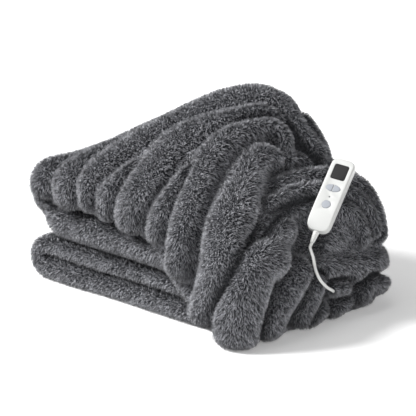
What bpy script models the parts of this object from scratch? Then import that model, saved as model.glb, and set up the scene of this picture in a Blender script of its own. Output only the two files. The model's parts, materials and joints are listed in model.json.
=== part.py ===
"""Electric heated blanket, folded, with its hand controller: a plush cloth solid and hard controller pieces.

Metres, +Z up. Frame: the camera side of the stack is -Y and the controller end is +X. The floor is z = 0.
The cloth is one length, doubled lengthwise, laid back and forth in laps, and its last stretch opens out
over the heap as a gathered cover that hangs down to the floor at one corner.
"""

import math

import bmesh
import bpy
import numpy as np
from mathutils import Matrix, Vector
from mathutils.bvhtree import BVHTree

# ---------------------------------------------------------------- driving dimensions (m)
PLY = 0.0195  # one thickness of plush cloth, pile included
PLY_SHARE = 0.42  # of a lap's band at most, so that its two plies stay a little apart
TURN_GAP = 0.0015  # between a lap and the next, at the crease of its turn
TURN_STEPS = 6  # faces round the half circle where a lap turns back
NOSE_STEPS = 6  # faces round the folded edge of a doubled lap
LAP_STEPS = 5  # sections along the flat run of a lap
RUN_STEPS = 2  # faces across a ply, from its folded edge to its hem
HEM_STAGGER = 0.014  # the doubled cloth's two open edges don't line up
HEM_ROUND = 0.4  # of a ply, how far its hem bulges
FRONT_WANDER = 0.004  # how far the folded edges lie from a straight line
BACK_WANDER = 0.007
WANDERS = ((0.6, 9.0, 1.0), (0.4, 23.0, 2.3))  # share, waves in radians a metre, and share of the phase

# The laps from the floor up. x_left and x_right are the turn centres, z its middle, band its thickness.
LAP_COLUMNS = ("x_left", "x_right", "z", "band", "y_front", "y_back")
LAPS = (
    (-0.2850, 0.250, 0.0240, 0.048, -0.190, 0.166),
    (-0.2850, 0.205, 0.0680, 0.036, -0.186, 0.162),
    (-0.2540, 0.205, 0.1235, 0.068, -0.190, 0.164),
    (-0.2540, 0.180, 0.1850, 0.048, -0.150, 0.146),
    (-0.0850, 0.180, 0.2330, 0.044, -0.108, 0.140),
    (-0.0850, 0.060, 0.2780, 0.042, -0.030, 0.134),
    (-0.0300, 0.060, 0.3190, 0.038, 0.030, 0.128),
)
COVER_JOIN_RISE = 0.030  # how far the top lap climbs to run into the cover

# The cover's rim, walked from the front left corner anticlockwise as seen from above: the place of its
# widest line, the height of its lower edge, and how far that edge turns under.
RIM_COLUMNS = ("x", "y", "z_edge", "turned_under")
RIM = {
    "front_left": (-0.308, -0.168, 0.150, 0.018),
    "front_1": (-0.180, -0.184, 0.163, 0.018),
    "front_2": (-0.070, -0.188, 0.160, 0.018),
    "front_3": (0.010, -0.190, 0.138, 0.018),
    "front_4": (0.075, -0.196, 0.080, 0.018),
    "front_5": (0.135, -0.200, 0.034, 0.022),
    "front_6": (0.190, -0.204, 0.006, 0.028),
    "front_right": (0.262, -0.206, 0.002, 0.032),
    "right_1": (0.286, -0.110, 0.002, 0.026),
    "right_2": (0.288, 0.030, 0.002, 0.022),
    "back_right": (0.284, 0.166, 0.002, 0.022),
    "back_1": (0.150, 0.182, 0.060, 0.016),
    "back_2": (0.000, 0.186, 0.115, 0.018),
    "back_3": (-0.170, 0.184, 0.135, 0.020),
    "back_left": (-0.300, 0.160, 0.110, 0.024),
    "left_1": (-0.322, 0.060, 0.094, 0.026),
    "left_2": (-0.324, -0.110, 0.094, 0.026),
}
RIM_CORNERS = ("front_left", "front_right", "back_right", "back_left")
COVER_CENTRE = (0.030, 0.060)
COVER_TOP = 0.236  # the shoulder's height, before the hump and the ridges
COVER_SQUARENESS = 4.6  # 2 is a dome, and more is a rounder-cornered box
COVER_SIDE_SHARE = 0.90  # of the cover's grid from its centre to its widest line
HUMP_SPREAD = 1.6  # how soon the hump has its whole height, going up the cover's sides
COVER_WALL = 0.011  # the cover's thickness at the bottom of a crease
COVER_GRID = (180, 160)  # cells along x and y

# The hump along x: its height over the shoulder.
HUMP_COLUMNS = ("x", "rise")
HUMP = (
    (-0.330, 0.000),
    (-0.250, 0.008),
    (-0.130, 0.084),
    (-0.030, 0.128),
    (0.050, 0.134),
    (0.095, 0.104),
    (0.135, 0.056),
    (0.180, 0.026),
    (0.250, 0.022),
    (0.330, 0.000),
)
HUMP_Y = 0.112  # the hump's crest
HUMP_FRONT = 0.330  # how far it runs out towards the front
HUMP_BACK = 0.210
HUMP_SLOPE = 1.35  # 1 is a straight slope, and more is a rounder top
HUMP_SAMPLES = 200
RIM_SAMPLES = 960
RIDGE_HOLLOW = 0.55  # of a ridge's height, how far the cover's inside follows it
HEM_OFF_FLOOR = 0.004

# The cover's ridges, which are fat rolls of the gathered cloth: each one's height, and the places along its
# crest with its half width there. They count from the hem up, or from front to back.
RIDGE_COLUMNS = ("x", "y", "z", "half_width")
RIDGES = {
    "left_roll": (
        0.014,
        [
            (-0.324, -0.130, 0.160, 0.070),
            (-0.326, 0.000, 0.160, 0.070),
            (-0.320, 0.140, 0.160, 0.070),
        ],
    ),
    "left_1": (
        0.026,
        [
            (-0.298, -0.178, 0.190, 0.034),
            (-0.298, -0.152, 0.230, 0.034),
            (-0.292, -0.060, 0.245, 0.036),
            (-0.290, 0.060, 0.245, 0.036),
            (-0.298, 0.172, 0.180, 0.034),
        ],
    ),
    "left_2": (
        0.028,
        [
            (-0.216, -0.206, 0.195, 0.036),
            (-0.220, -0.196, 0.228, 0.038),
            (-0.222, -0.174, 0.250, 0.038),
            (-0.220, -0.130, 0.265, 0.038),
            (-0.212, -0.070, 0.272, 0.038),
            (-0.206, 0.060, 0.280, 0.040),
            (-0.212, 0.184, 0.200, 0.038),
        ],
    ),
    "crest": (
        0.031,
        [
            (-0.144, -0.204, 0.198, 0.024),
            (-0.152, -0.196, 0.235, 0.028),
            (-0.155, -0.172, 0.262, 0.034),
            (-0.152, -0.130, 0.284, 0.040),
            (-0.142, -0.080, 0.300, 0.044),
            (-0.120, -0.020, 0.328, 0.046),
            (-0.072, 0.044, 0.361, 0.044),
            (-0.020, 0.078, 0.384, 0.042),
            (0.027, 0.098, 0.395, 0.040),
            (0.071, 0.114, 0.392, 0.038),
            (0.104, 0.121, 0.368, 0.036),
            (0.130, 0.124, 0.338, 0.034),
            (0.156, 0.130, 0.306, 0.030),
            (0.186, 0.146, 0.275, 0.026),
        ],
    ),
    "crest_end": (
        0.022,
        [
            (0.112, 0.096, 0.350, 0.012),
            (0.134, 0.102, 0.322, 0.015),
            (0.154, 0.108, 0.298, 0.015),
            (0.176, 0.120, 0.276, 0.013),
        ],
    ),
    "front_a": (
        0.024,
        [
            (-0.102, -0.216, 0.190, 0.026),
            (-0.096, -0.210, 0.222, 0.030),
            (-0.086, -0.196, 0.248, 0.030),
            (-0.076, -0.172, 0.268, 0.028),
            (-0.068, -0.145, 0.286, 0.022),
        ],
    ),
    "front_b": (
        0.032,
        [
            (-0.035, -0.213, 0.190, 0.036),
            (-0.028, -0.205, 0.232, 0.042),
            (-0.024, -0.182, 0.268, 0.046),
            (-0.028, -0.137, 0.298, 0.046),
            (-0.034, -0.080, 0.322, 0.044),
            (-0.010, -0.040, 0.346, 0.040),
            (0.031, -0.004, 0.365, 0.034),
            (0.068, 0.036, 0.378, 0.030),
            (0.090, 0.068, 0.378, 0.026),
            (0.112, 0.086, 0.360, 0.022),
        ],
    ),
    "front_c": (
        0.026,
        [
            (0.039, -0.217, 0.178, 0.026),
            (0.048, -0.208, 0.222, 0.026),
            (0.056, -0.187, 0.259, 0.024),
            (0.060, -0.160, 0.286, 0.020),
            (0.058, -0.129, 0.306, 0.016),
        ],
    ),
    "front_d": (
        0.035,
        [
            (0.108, -0.226, 0.130, 0.034),
            (0.112, -0.218, 0.190, 0.036),
            (0.111, -0.196, 0.240, 0.036),
            (0.101, -0.156, 0.284, 0.035),
            (0.086, -0.107, 0.320, 0.034),
            (0.080, -0.056, 0.344, 0.032),
            (0.088, -0.001, 0.360, 0.030),
            (0.104, 0.046, 0.362, 0.028),
            (0.127, 0.066, 0.348, 0.026),
            (0.146, 0.064, 0.326, 0.022),
        ],
    ),
    "front_e": (
        0.044,
        [
            (0.186, -0.205, 0.060, 0.036),
            (0.205, -0.210, 0.105, 0.042),
            (0.221, -0.206, 0.156, 0.046),
            (0.212, -0.190, 0.190, 0.046),
            (0.193, -0.150, 0.228, 0.046),
            (0.163, -0.096, 0.250, 0.043),
            (0.132, -0.036, 0.278, 0.038),
            (0.124, 0.004, 0.292, 0.033),
            (0.136, 0.022, 0.280, 0.024),
        ],
    ),
    "corner": (
        0.044,
        [
            (0.260, -0.207, 0.026, 0.041),
            (0.263, -0.204, 0.070, 0.046),
            (0.268, -0.193, 0.112, 0.047),
            (0.270, -0.176, 0.148, 0.046),
            (0.271, -0.148, 0.172, 0.042),
            (0.268, -0.112, 0.181, 0.041),
            (0.246, -0.062, 0.198, 0.037),
        ],
    ),
    "corner_b": (
        0.036,
        [
            (0.300, -0.150, 0.040, 0.036),
            (0.302, -0.130, 0.072, 0.036),
            (0.304, -0.098, 0.104, 0.034),
            (0.303, -0.070, 0.126, 0.026),
        ],
    ),
    "corner_c": (
        0.034,
        [
            (0.304, -0.070, 0.040, 0.028),
            (0.304, -0.046, 0.075, 0.030),
            (0.304, -0.030, 0.105, 0.026),
        ],
    ),
    "shoulder_d": (
        0.027,
        [
            (0.254, -0.166, 0.200, 0.018),
            (0.241, -0.126, 0.210, 0.021),
            (0.234, -0.070, 0.223, 0.023),
            (0.232, -0.021, 0.230, 0.023),
            (0.237, 0.026, 0.229, 0.023),
            (0.262, 0.066, 0.214, 0.022),
            (0.277, 0.094, 0.200, 0.022),
            (0.286, 0.104, 0.178, 0.022),
            (0.291, 0.106, 0.150, 0.020),
        ],
    ),
    "shoulder_c": (
        0.028,
        [
            (0.212, -0.072, 0.238, 0.018),
            (0.216, -0.030, 0.241, 0.021),
            (0.222, 0.015, 0.243, 0.022),
            (0.229, 0.056, 0.243, 0.022),
            (0.248, 0.091, 0.235, 0.023),
            (0.264, 0.115, 0.221, 0.025),
            (0.278, 0.132, 0.200, 0.027),
            (0.288, 0.143, 0.160, 0.025),
        ],
    ),
    "shoulder_b": (
        0.026,
        [
            (0.176, -0.014, 0.251, 0.017),
            (0.180, 0.034, 0.255, 0.019),
            (0.194, 0.075, 0.253, 0.022),
            (0.215, 0.112, 0.250, 0.026),
            (0.246, 0.146, 0.228, 0.031),
            (0.270, 0.164, 0.186, 0.034),
            (0.276, 0.166, 0.146, 0.030),
        ],
    ),
    "shoulder_a": (
        0.022,
        [
            (0.144, 0.040, 0.279, 0.016),
            (0.148, 0.086, 0.279, 0.018),
            (0.163, 0.124, 0.267, 0.021),
        ],
    ),
    "low_band": (
        0.024,
        [
            (0.300, -0.030, 0.120, 0.024),
            (0.300, 0.035, 0.106, 0.030),
            (0.300, 0.100, 0.092, 0.034),
            (0.284, 0.155, 0.086, 0.036),
            (0.240, 0.176, 0.080, 0.036),
        ],
    ),
    "low_lobe_a": (0.032, [(0.300, 0.010, 0.076, 0.022), (0.300, 0.045, 0.070, 0.024)]),
    "low_lobe_b": (
        0.030,
        [
            (0.300, 0.096, 0.040, 0.024),
            (0.298, 0.118, 0.062, 0.026),
            (0.286, 0.150, 0.050, 0.028),
        ],
    ),
    "low_lobe_c": (0.026, [(0.300, 0.028, 0.026, 0.022), (0.300, 0.056, 0.034, 0.020)]),
    "low_lobe_d": (0.026, [(0.302, -0.040, 0.024, 0.024), (0.302, -0.012, 0.034, 0.022)]),
    "back_a": (
        0.028,
        [
            (-0.125, 0.190, 0.170, 0.040),
            (-0.120, 0.172, 0.250, 0.038),
            (-0.095, 0.130, 0.330, 0.034),
        ],
    ),
    "back_b": (
        0.028,
        [
            (-0.045, 0.192, 0.160, 0.038),
            (-0.040, 0.172, 0.270, 0.036),
            (-0.030, 0.140, 0.350, 0.034),
        ],
    ),
    "back_c": (
        0.028,
        [
            (0.035, 0.190, 0.150, 0.036),
            (0.035, 0.172, 0.280, 0.036),
            (0.035, 0.150, 0.360, 0.034),
        ],
    ),
    "back_d": (
        0.028,
        [
            (0.115, 0.188, 0.110, 0.038),
            (0.108, 0.172, 0.240, 0.036),
            (0.100, 0.155, 0.330, 0.034),
        ],
    ),
    "back_e": (
        0.028,
        [
            (0.195, 0.186, 0.085, 0.038),
            (0.186, 0.172, 0.190, 0.036),
            (0.172, 0.155, 0.270, 0.030),
        ],
    ),
}
RIDGE_FULLNESS = 0.6  # 0.5 is a half round ridge, and 1 is a flatter one
RIDGE_SAMPLES = 14  # along its crest, for each of its rows
UNDERSIDE_CALM = 0.7  # ridges fade towards the turned-under hem
CREASE_DEPTH = 0.010  # how much deeper the cloth folds in where two ridges meet
CREASE_BAND = 0.009  # the ridges' difference in height over which it does
CREASE_START = 0.005  # the lower ridge's height at which a crease has its whole depth
SMOOTHINGS = 2  # passes over the ridged cover
BED_SMOOTHINGS = 14  # passes over the form under the ridges, which round the dip's edges

# ---------------------------------------------------------------- the hand controller and its cord (m)
CONTROLLER_FOOT = (0.2808, -0.0073, 0.1833)  # the middle of its foot end, on its back
CONTROLLER_ALONG = (-0.1906, 0.7323, 0.6528)  # from its foot to its top
CONTROLLER_FACING = (0.3675, -0.5632, 0.7391)
CONTROLLER_LENGTH = 0.160
CONTROLLER_WIDTH = 0.047
CONTROLLER_THICKNESS = 0.020
FOOT_THICKNESS = 0.014  # its face bends down towards its foot
FOOT_BEND = 0.034  # over this length
FOOT_ROUND = 0.0165  # its corners seen from above its face
TOP_ROUND = 0.013
EDGE_ROUND = 0.0035  # its long edges
EDGE_MOST_SHARE = 0.45  # of the thickness left at an end
END_STEPS = 9
END_SHARE = 0.9  # of the half length that the closely spaced sections of an end take
WINDOW_WIDTH = 0.029
WINDOW_LENGTH = 0.033
WINDOW_CORNER = 0.004
WINDOW_Y = 0.1295
WINDOW_DEPTH = 0.0016
WINDOW_PROUD = 0.0002
KEY_PAIR_Y = 0.093
OVAL_KEY_WIDTH = 0.029
OVAL_KEY_LENGTH = 0.015
KEY_SPLIT = 0.0018  # between the oval's two halves
INDICATOR_Y = 0.0735
INDICATOR_RADIUS = 0.0015
POWER_KEY_Y = 0.056
POWER_KEY_RADIUS = 0.0085
KEY_POCKET = 0.0035
KEY_GAP = 0.0004
KEY_TRAVEL = 0.0008
KEY_PROUD = 0.0010
TOP_CHAMFER = 0.0005  # of the keys, the window and the indicator
KEY_TOP_SHARE = 0.93  # of its outline, what a piece's top keeps inside its chamfer
WINDOW_TOP_SHARE = 0.98
INDICATOR_TOP_SHARE = 0.8
FIT_GAP = 0.0003  # between pieces that touch
CUT_PAST = 0.004  # how far a cutter stands out of what it cuts
DISC_STEPS = 24
RELIEF_LENGTH = 0.024
RELIEF_RADIUS = 0.0062
RELIEF_TIP_RADIUS = 0.0044
RELIEF_GROOVE = 0.0009
RELIEF_RIBS = 5
RELIEF_ROOT = 0.9  # of the first rib's radius, where the sleeve meets the housing
RIB_SHARES = ((0.12, 0.0), (0.62, 0.0), (0.72, 1.0), (1.0, 1.0))  # of its pitch, and of its groove's depth
CORD_RADIUS = 0.003
CORD_GAP = 0.0007  # to the sleeve, at the middle of its slightly turned end
CORD_STRAIGHT = 0.010  # it leaves the sleeve straight for this far
CORD_COUNT = 14
CORD_ROUTE = (
    (0.307, -0.046, 0.152),
    (0.3195, -0.0535, 0.1335),
    (0.3235, -0.045, 0.112),
    (0.325, -0.028, 0.093),
    (0.320, -0.006, 0.079),
    (0.307, 0.012, 0.069),
    (0.296, 0.022, 0.064),
)
CORD_CLEAR = 0.0030  # between the cord's side and the plush
POCKET_RADIUS = 0.0070  # the fold's mouth that the cord goes into
POCKET_REACH = (-0.034, 0.004)  # along the cord, from its far end
POCKET_STEPS = 14
POCKET_POINTS = 3  # of the cord, the last ones, that are in the fold
DENT_CLEAR = 0.0035  # the plush lies this far under the controller
DENT_BESIDE = 0.004  # this flat place is wider than the controller by as much on each side
DENT_SLOPE = 3.0  # and the plush rises this steeply beyond it
BED_DEPTH = 0.029  # the heap dips this far under the controller before its ridges are added
BED_SLOPE = 1.0  # and rises this steeply beside it
DENT_WALL = 0.013  # the cover's thickness there, straight back from the controller's face
DENT_REACH = 0.110  # the plush pressed down lay within this height over the controller's back
COVER_TRIANGLES = 0.050  # share of the cover's fine grid that its solid keeps


def table(columns, rows):
    """Each column of a table as an array, by its name."""
    return dict(zip(columns, np.array(rows, float).T))


def smooth_step(t):
    t = np.clip(t, 0.0, 1.0)
    return t * t * (3.0 - 2.0 * t)


def catmull_rom(points, count, closed=False, fine=24):
    """A smooth curve through the points, sampled evenly along its length."""
    points = np.asarray(points, float)
    if closed:
        points = np.concatenate([points[-1:], points, points[:2]])
    else:
        first = 2 * points[:1] - points[1:2]
        last = 2 * points[-1:] - points[-2:-1]
        points = np.concatenate([first, points, last])
    p0, p1, p2, p3 = points[:-3], points[1:-2], points[2:-1], points[3:]
    t = np.linspace(0, 1, fine, endpoint=False)[None, :, None]
    p0, p1, p2, p3 = (p[:, None, :] for p in (p0, p1, p2, p3))
    cubic = 2 * p1 + (p2 - p0) * t + (2 * p0 - 5 * p1 + 4 * p2 - p3) * t**2
    curve = 0.5 * (cubic + (3 * p1 - p0 - 3 * p2 + p3) * t**3)
    curve = curve.reshape(-1, points.shape[1])
    curve = np.concatenate([curve, points[-2:-1]])
    along = np.concatenate([[0], np.cumsum(np.linalg.norm(np.diff(curve, axis=0), axis=1))])
    at = np.linspace(0, along[-1], count)
    return np.stack([np.interp(at, along, column) for column in curve.T], axis=1)


# ---------------------------------------------------------------- the folded laps


def uneven(along, size, phase=0.0):
    """A slow, repeatable wander, for edges that no hand lays quite straight."""
    return size * sum(share * math.sin(rate * along + turn * phase) for share, rate, turn in WANDERS)


def lap_stations():
    """Sections along the laps, each a dict of its place, its normal and its sizes."""
    laps = [dict(zip(LAP_COLUMNS, row)) for row in LAPS]
    sizes = ("band", "y_front", "y_back")
    stations = []
    for index, lap in enumerate(laps):
        heading = -1 if index % 2 == 0 else 1
        start, end = (lap["x_right"], lap["x_left"]) if heading < 0 else (lap["x_left"], lap["x_right"])
        last = index == len(laps) - 1
        for t in np.linspace(0, 1, LAP_STEPS):
            rise = COVER_JOIN_RISE * smooth_step(t) if last else 0.0
            place = {"x": start + (end - start) * t, "z": lap["z"] + rise, "normal": (0.0, -heading)}
            stations.append({**place, **{name: lap[name] for name in sizes}})
        if last:
            break
        above = laps[index + 1]
        radius = (above["z"] - lap["z"]) / 2
        for t in np.arange(1, TURN_STEPS) / TURN_STEPS:
            out, up = heading * math.sin(math.pi * t), -math.cos(math.pi * t)
            place = {
                "x": end + radius * out,
                "z": lap["z"] + radius * (1 + up),
                "normal": (heading * out, heading * up),
            }
            mixed = {name: lap[name] + (above[name] - lap[name]) * t for name in sizes}
            mixed["band"] = min(mixed["band"], 2 * radius - TURN_GAP)
            stations.append({**place, **mixed})
    return stations


def doubled_section(band, y_front, y_back):
    """The doubled cloth across a lap, as two chains of points from the upper hem round to the lower one.

    The first chain is its outside and the second its inside. A point at each hem's tip follows.
    """
    half = band / 2
    ply = min(PLY, band * PLY_SHARE)
    slot = half - ply
    bend_y = y_front + half
    ends = {1: y_back, -1: y_back - HEM_STAGGER}
    arc = [math.pi / 2 + math.pi * k / NOSE_STEPS for k in range(NOSE_STEPS + 1)]

    def chain(h):
        out = [(ends[1] + (bend_y - ends[1]) * k / RUN_STEPS, h) for k in range(RUN_STEPS)]
        bend = [(bend_y + h * math.cos(a), h * math.sin(a)) for a in arc]
        back = [(bend_y + (ends[-1] - bend_y) * k / RUN_STEPS, -h) for k in range(1, RUN_STEPS + 1)]
        return out + bend + back

    tips = [(ends[side] + ply * HEM_ROUND, side * (half - ply / 2)) for side in (-1, 1)]
    return chain(half), chain(slot), tips


def folded_laps():
    """The doubled cloth swept along the laps, as a closed mesh."""
    mesh = bmesh.new()
    rings = []
    walked = 0.0
    before = None
    for station in lap_stations():
        place = np.array((station["x"], station["z"]))
        walked += 0.0 if before is None else float(np.linalg.norm(place - before))
        before = place
        outside, inside, tips = doubled_section(
            station["band"],
            station["y_front"] + uneven(walked, FRONT_WANDER),
            station["y_back"] + uneven(walked, BACK_WANDER, 1.7),
        )
        nx, nz = station["normal"]
        section = outside + tips[:1] + inside[::-1] + tips[1:]
        rings.append([mesh.verts.new((place[0] + nx * h, y, place[1] + nz * h)) for y, h in section])
    for one, other in zip(rings, rings[1:]):
        for k in range(len(one)):
            mesh.faces.new((one[k - 1], one[k], other[k], other[k - 1]))
    count = len(rings[0]) // 2
    for ring in (rings[0], rings[-1]):
        outside, inside = ring[: count - 1], ring[-2 : count - 1 : -1]
        for k in range(count - 2):
            mesh.faces.new((outside[k], outside[k + 1], inside[k + 1], inside[k]))
        mesh.faces.new((outside[-1], ring[count - 1], inside[-1]))
        mesh.faces.new((inside[0], ring[-1], outside[0]))
    bmesh.ops.recalc_face_normals(mesh, faces=mesh.faces)
    return mesh


# ---------------------------------------------------------------- the gathered cover


def hump_rise(x, y):
    """How far the heap stands over the shoulder's height at a place in plan."""
    columns = table(HUMP_COLUMNS, HUMP)
    along = catmull_rom(np.stack([columns["x"], columns["rise"]], axis=1), HUMP_SAMPLES)
    rise = np.interp(x, along[:, 0], along[:, 1])
    reach = np.where(y < HUMP_Y, HUMP_FRONT, HUMP_BACK)
    share = np.clip(np.abs(y - HUMP_Y) / reach, 0, 1)
    return rise * (1 - share**HUMP_SLOPE)


def rim_points(places):
    """The rim's columns at each place, a number from 0 to 4 walked round the four corners."""
    names = list(RIM)
    curve = catmull_rom(np.array(list(RIM.values())), RIM_SAMPLES + 1, closed=True)
    corner_rows = [RIM[name] for name in RIM_CORNERS]
    at = [int(np.argmin(np.linalg.norm(curve[:-1, :2] - row[:2], axis=1))) for row in np.array(corner_rows)]
    at = [index if k == 0 or index > at[0] else index + RIM_SAMPLES for k, index in enumerate(at)]
    samples = np.interp(places, range(5), at + [at[0] + RIM_SAMPLES])
    wrapped = np.concatenate([curve[:-1], curve[:-1], curve[:1]])
    return np.stack([np.interp(samples, range(len(wrapped)), column) for column in wrapped.T], axis=1)


def cover_base():
    """The cover's smooth form before its ridges: points and outward normals on a grid, and its rise."""
    across, deep = COVER_GRID
    a, b = np.meshgrid(np.linspace(-1, 1, across + 1), np.linspace(-1, 1, deep + 1), indexing="ij")
    reach = np.maximum(np.maximum(np.abs(a), np.abs(b)), 1e-9)
    qa, qb = a / reach, b / reach
    front, right, back = qb <= -1 + 1e-9, qa >= 1 - 1e-9, qb >= 1 - 1e-9
    place = np.select(
        [front, right, back],
        [(qa + 1) / 2, 1 + (qb + 1) / 2, 2 + (1 - qa) / 2],
        3 + (1 - qb) / 2,
    )
    rim = table(RIM_COLUMNS, rim_points(place.ravel()))
    rim = {name: column.reshape(place.shape) for name, column in rim.items()}
    centre = np.array(COVER_CENTRE)
    spread = np.stack([rim["x"], rim["y"]], axis=-1) - centre
    inward = -spread / np.linalg.norm(spread, axis=-1, keepdims=True)
    turn = np.minimum(reach / COVER_SIDE_SHARE, 1.0) * math.pi / 2
    power = COVER_SQUARENESS
    radius = (np.abs(np.cos(turn)) ** power + np.sin(turn) ** power) ** (-1 / power)
    out, up = radius * np.sin(turn), radius * np.cos(turn)
    under = np.clip((reach - COVER_SIDE_SHARE) / (1 - COVER_SIDE_SHARE), 0, 1) * math.pi / 2
    turned_under = rim["turned_under"]
    widest_z = rim["z_edge"] + turned_under
    plan = centre + spread * out[..., None]
    plan = plan + inward * (turned_under * (1 - np.cos(under)))[..., None]
    z = widest_z + (COVER_TOP - widest_z) * up - turned_under * np.sin(under)
    z = z + hump_rise(plan[..., 0], plan[..., 1]) * smooth_step(up * HUMP_SPREAD)
    points = np.concatenate([plan, z[..., None]], axis=-1)
    points = smoothed(pressed_down(points, BED_DEPTH, BED_SLOPE), BED_SMOOTHINGS)
    normals = np.cross(np.gradient(points, axis=0), np.gradient(points, axis=1))
    normals /= np.linalg.norm(normals, axis=-1, keepdims=True)
    return points, normals


def grid_faces(shape, start=0, flip=False):
    rows, columns = shape
    index = start + np.arange(rows * columns).reshape(rows, columns)
    corners = [index[:-1, :-1], index[1:, :-1], index[1:, 1:], index[:-1, 1:]]
    faces = np.stack(corners, axis=-1).reshape(-1, 4)
    return faces[:, ::-1] if flip else faces


def rim_loop(shape, start=0):
    """The grid's outer points, in order round it."""
    rows, columns = shape
    index = start + np.arange(rows * columns).reshape(rows, columns)
    return np.concatenate([index[:-1, 0], index[-1, :-1], index[:0:-1, -1], index[0, :0:-1]])


def ridge_relief(points):
    """How far the ridges lift each point of the cover, with a crease folded in wherever two of them meet."""
    grid = points.reshape(-1, 3)
    tree = BVHTree.FromPolygons(grid.tolist(), grid_faces(points.shape[:2]).tolist())
    highest, second = np.zeros(len(grid)), np.zeros(len(grid))
    for height, rows in RIDGES.values():
        crest = table(RIDGE_COLUMNS, catmull_rom(np.array(rows), RIDGE_SAMPLES * len(rows)))
        lift = np.zeros(len(grid))
        for x, y, z, half_width in zip(*crest.values()):
            nearest = np.array(tree.find_nearest(Vector((x, y, z)))[0])
            share = np.minimum(np.linalg.norm(grid - nearest, axis=1) / half_width, 1)
            lift = np.maximum(lift, height * (1 - share**2) ** RIDGE_FULLNESS)
        second = np.maximum(second, np.minimum(highest, lift))
        highest = np.maximum(highest, lift)
    crease = smooth_step(1 - (highest - second) / CREASE_BAND) * smooth_step(second / CREASE_START)
    return (highest - CREASE_DEPTH * crease).reshape(points.shape[:2])


def smoothed(points, passes):
    """The grid of points with each inner one moved halfway to the middle of its neighbours, a few times."""
    points = points.copy()
    for _ in range(passes):
        middle = (points[:-2, 1:-1] + points[2:, 1:-1] + points[1:-1, :-2] + points[1:-1, 2:]) / 4
        points[1:-1, 1:-1] += (middle - points[1:-1, 1:-1]) / 2
    return points


def pressed_down(points, clear, slope=DENT_SLOPE):
    """The points moved out of the way of the controller that lies on them, straight back from its face."""
    frame = np.array(controller_matrix())
    across, along, facing, foot = frame[:3, 0], frame[:3, 1], frame[:3, 2], frame[:3, 3]
    x, y, z = ((points - foot) @ axis for axis in (across, along, facing))
    beyond = RELIEF_LENGTH + CORD_STRAIGHT
    beside_x = np.maximum(np.abs(x) - CONTROLLER_WIDTH / 2 - DENT_BESIDE, 0)
    beside_y = np.maximum(np.maximum(y - CONTROLLER_LENGTH - DENT_BESIDE, -y - beyond), 0)
    highest = slope * np.hypot(beside_x, beside_y) - clear
    over = np.where(z < DENT_REACH, np.maximum(z - highest, 0), 0)
    return points - over[..., None] * facing


def clear_of_cord(points, inwards, clear):
    """The points pushed inwards where the cord lies by them."""
    points = points.copy()
    needed = CORD_RADIUS + clear
    for place in catmull_rom(cord_points()[:-POCKET_POINTS], 4 * CORD_COUNT):
        away = np.linalg.norm(points - place, axis=-1)
        points += inwards * np.clip(needed - away, 0, needed)[..., None]
    return points


def gathered_cover():
    """The cover as a closed mesh: its ridged outside, its inside and the hem between them."""
    points, normals = cover_base()
    relief = ridge_relief(points) * smooth_step(1 + UNDERSIDE_CALM * np.minimum(normals[..., 2], 0))
    outside = smoothed(points + normals * relief[..., None], SMOOTHINGS)
    inside = points + normals * (relief * RIDGE_HOLLOW - COVER_WALL)[..., None]
    outside = clear_of_cord(pressed_down(outside, DENT_CLEAR), -normals, CORD_CLEAR)
    inside = clear_of_cord(pressed_down(inside, DENT_CLEAR + DENT_WALL), -normals, CORD_CLEAR + COVER_WALL)
    outside[..., 2] = np.maximum(outside[..., 2], HEM_OFF_FLOOR / 2)
    inside[..., 2] = np.maximum(inside[..., 2], HEM_OFF_FLOOR)
    shape = points.shape[:2]
    count = shape[0] * shape[1]
    faces = grid_faces(shape).tolist() + grid_faces(shape, count, flip=True).tolist()
    outer_rim, inner_rim = rim_loop(shape), rim_loop(shape, count)
    for k in range(len(outer_rim)):
        faces.append([outer_rim[k - 1], outer_rim[k], inner_rim[k], inner_rim[k - 1]])
    mesh = bmesh.new()
    both = np.concatenate([outside.reshape(-1, 3), inside.reshape(-1, 3)])
    verts = [mesh.verts.new(point) for point in both]
    for face in faces:
        mesh.faces.new([verts[k] for k in face])
    bmesh.ops.recalc_face_normals(mesh, faces=mesh.faces)
    return mesh


# ---------------------------------------------------------------- the hand controller


def controller_matrix():
    """From the controller's own axes (x across, y from foot to top, z out of its face) to the heap's."""
    along = Vector(CONTROLLER_ALONG).normalized()
    across = along.cross(Vector(CONTROLLER_FACING)).normalized()
    facing = across.cross(along)
    turned = Matrix((across, along, facing)).transposed().to_4x4()
    return Matrix.Translation(CONTROLLER_FOOT) @ turned


def rounded_rectangle(width, length, radius, centre=(0.0, 0.0), steps=5):
    """An outline, anticlockwise, with an arc at each corner."""
    outline = []
    for quarter, (sx, sy) in enumerate(((1, 1), (-1, 1), (-1, -1), (1, -1))):
        middle = (centre[0] + sx * (width / 2 - radius), centre[1] + sy * (length / 2 - radius))
        for k in range(steps + 1):
            angle = (quarter + k / steps) * math.pi / 2
            outline.append((middle[0] + radius * math.cos(angle), middle[1] + radius * math.sin(angle)))
    return outline


def disc(radius, centre, steps=DISC_STEPS):
    angles = [2 * math.pi * k / steps for k in range(steps)]
    return [(centre[0] + radius * math.cos(a), centre[1] + radius * math.sin(a)) for a in angles]


def half_oval(side, grow=0.0, steps=DISC_STEPS // 2):
    """One half of the heat key's oval, on the side -1 or 1. It grows on all sides for its pocket."""
    a, b = OVAL_KEY_WIDTH / 2 + grow, OVAL_KEY_LENGTH / 2 + grow
    widest = math.acos((KEY_SPLIT / 2 - grow) / a)
    angles = [-widest + 2 * widest * k / steps for k in range(steps + 1)]
    outline = [(side * a * math.cos(t), KEY_PAIR_Y + b * math.sin(t)) for t in angles]
    return outline if side > 0 else outline[::-1]


def scaled(outline, share):
    """The outline drawn in towards its middle."""
    middle = np.mean(outline, axis=0)
    return [tuple(middle + (np.array(point) - middle) * share) for point in outline]


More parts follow.
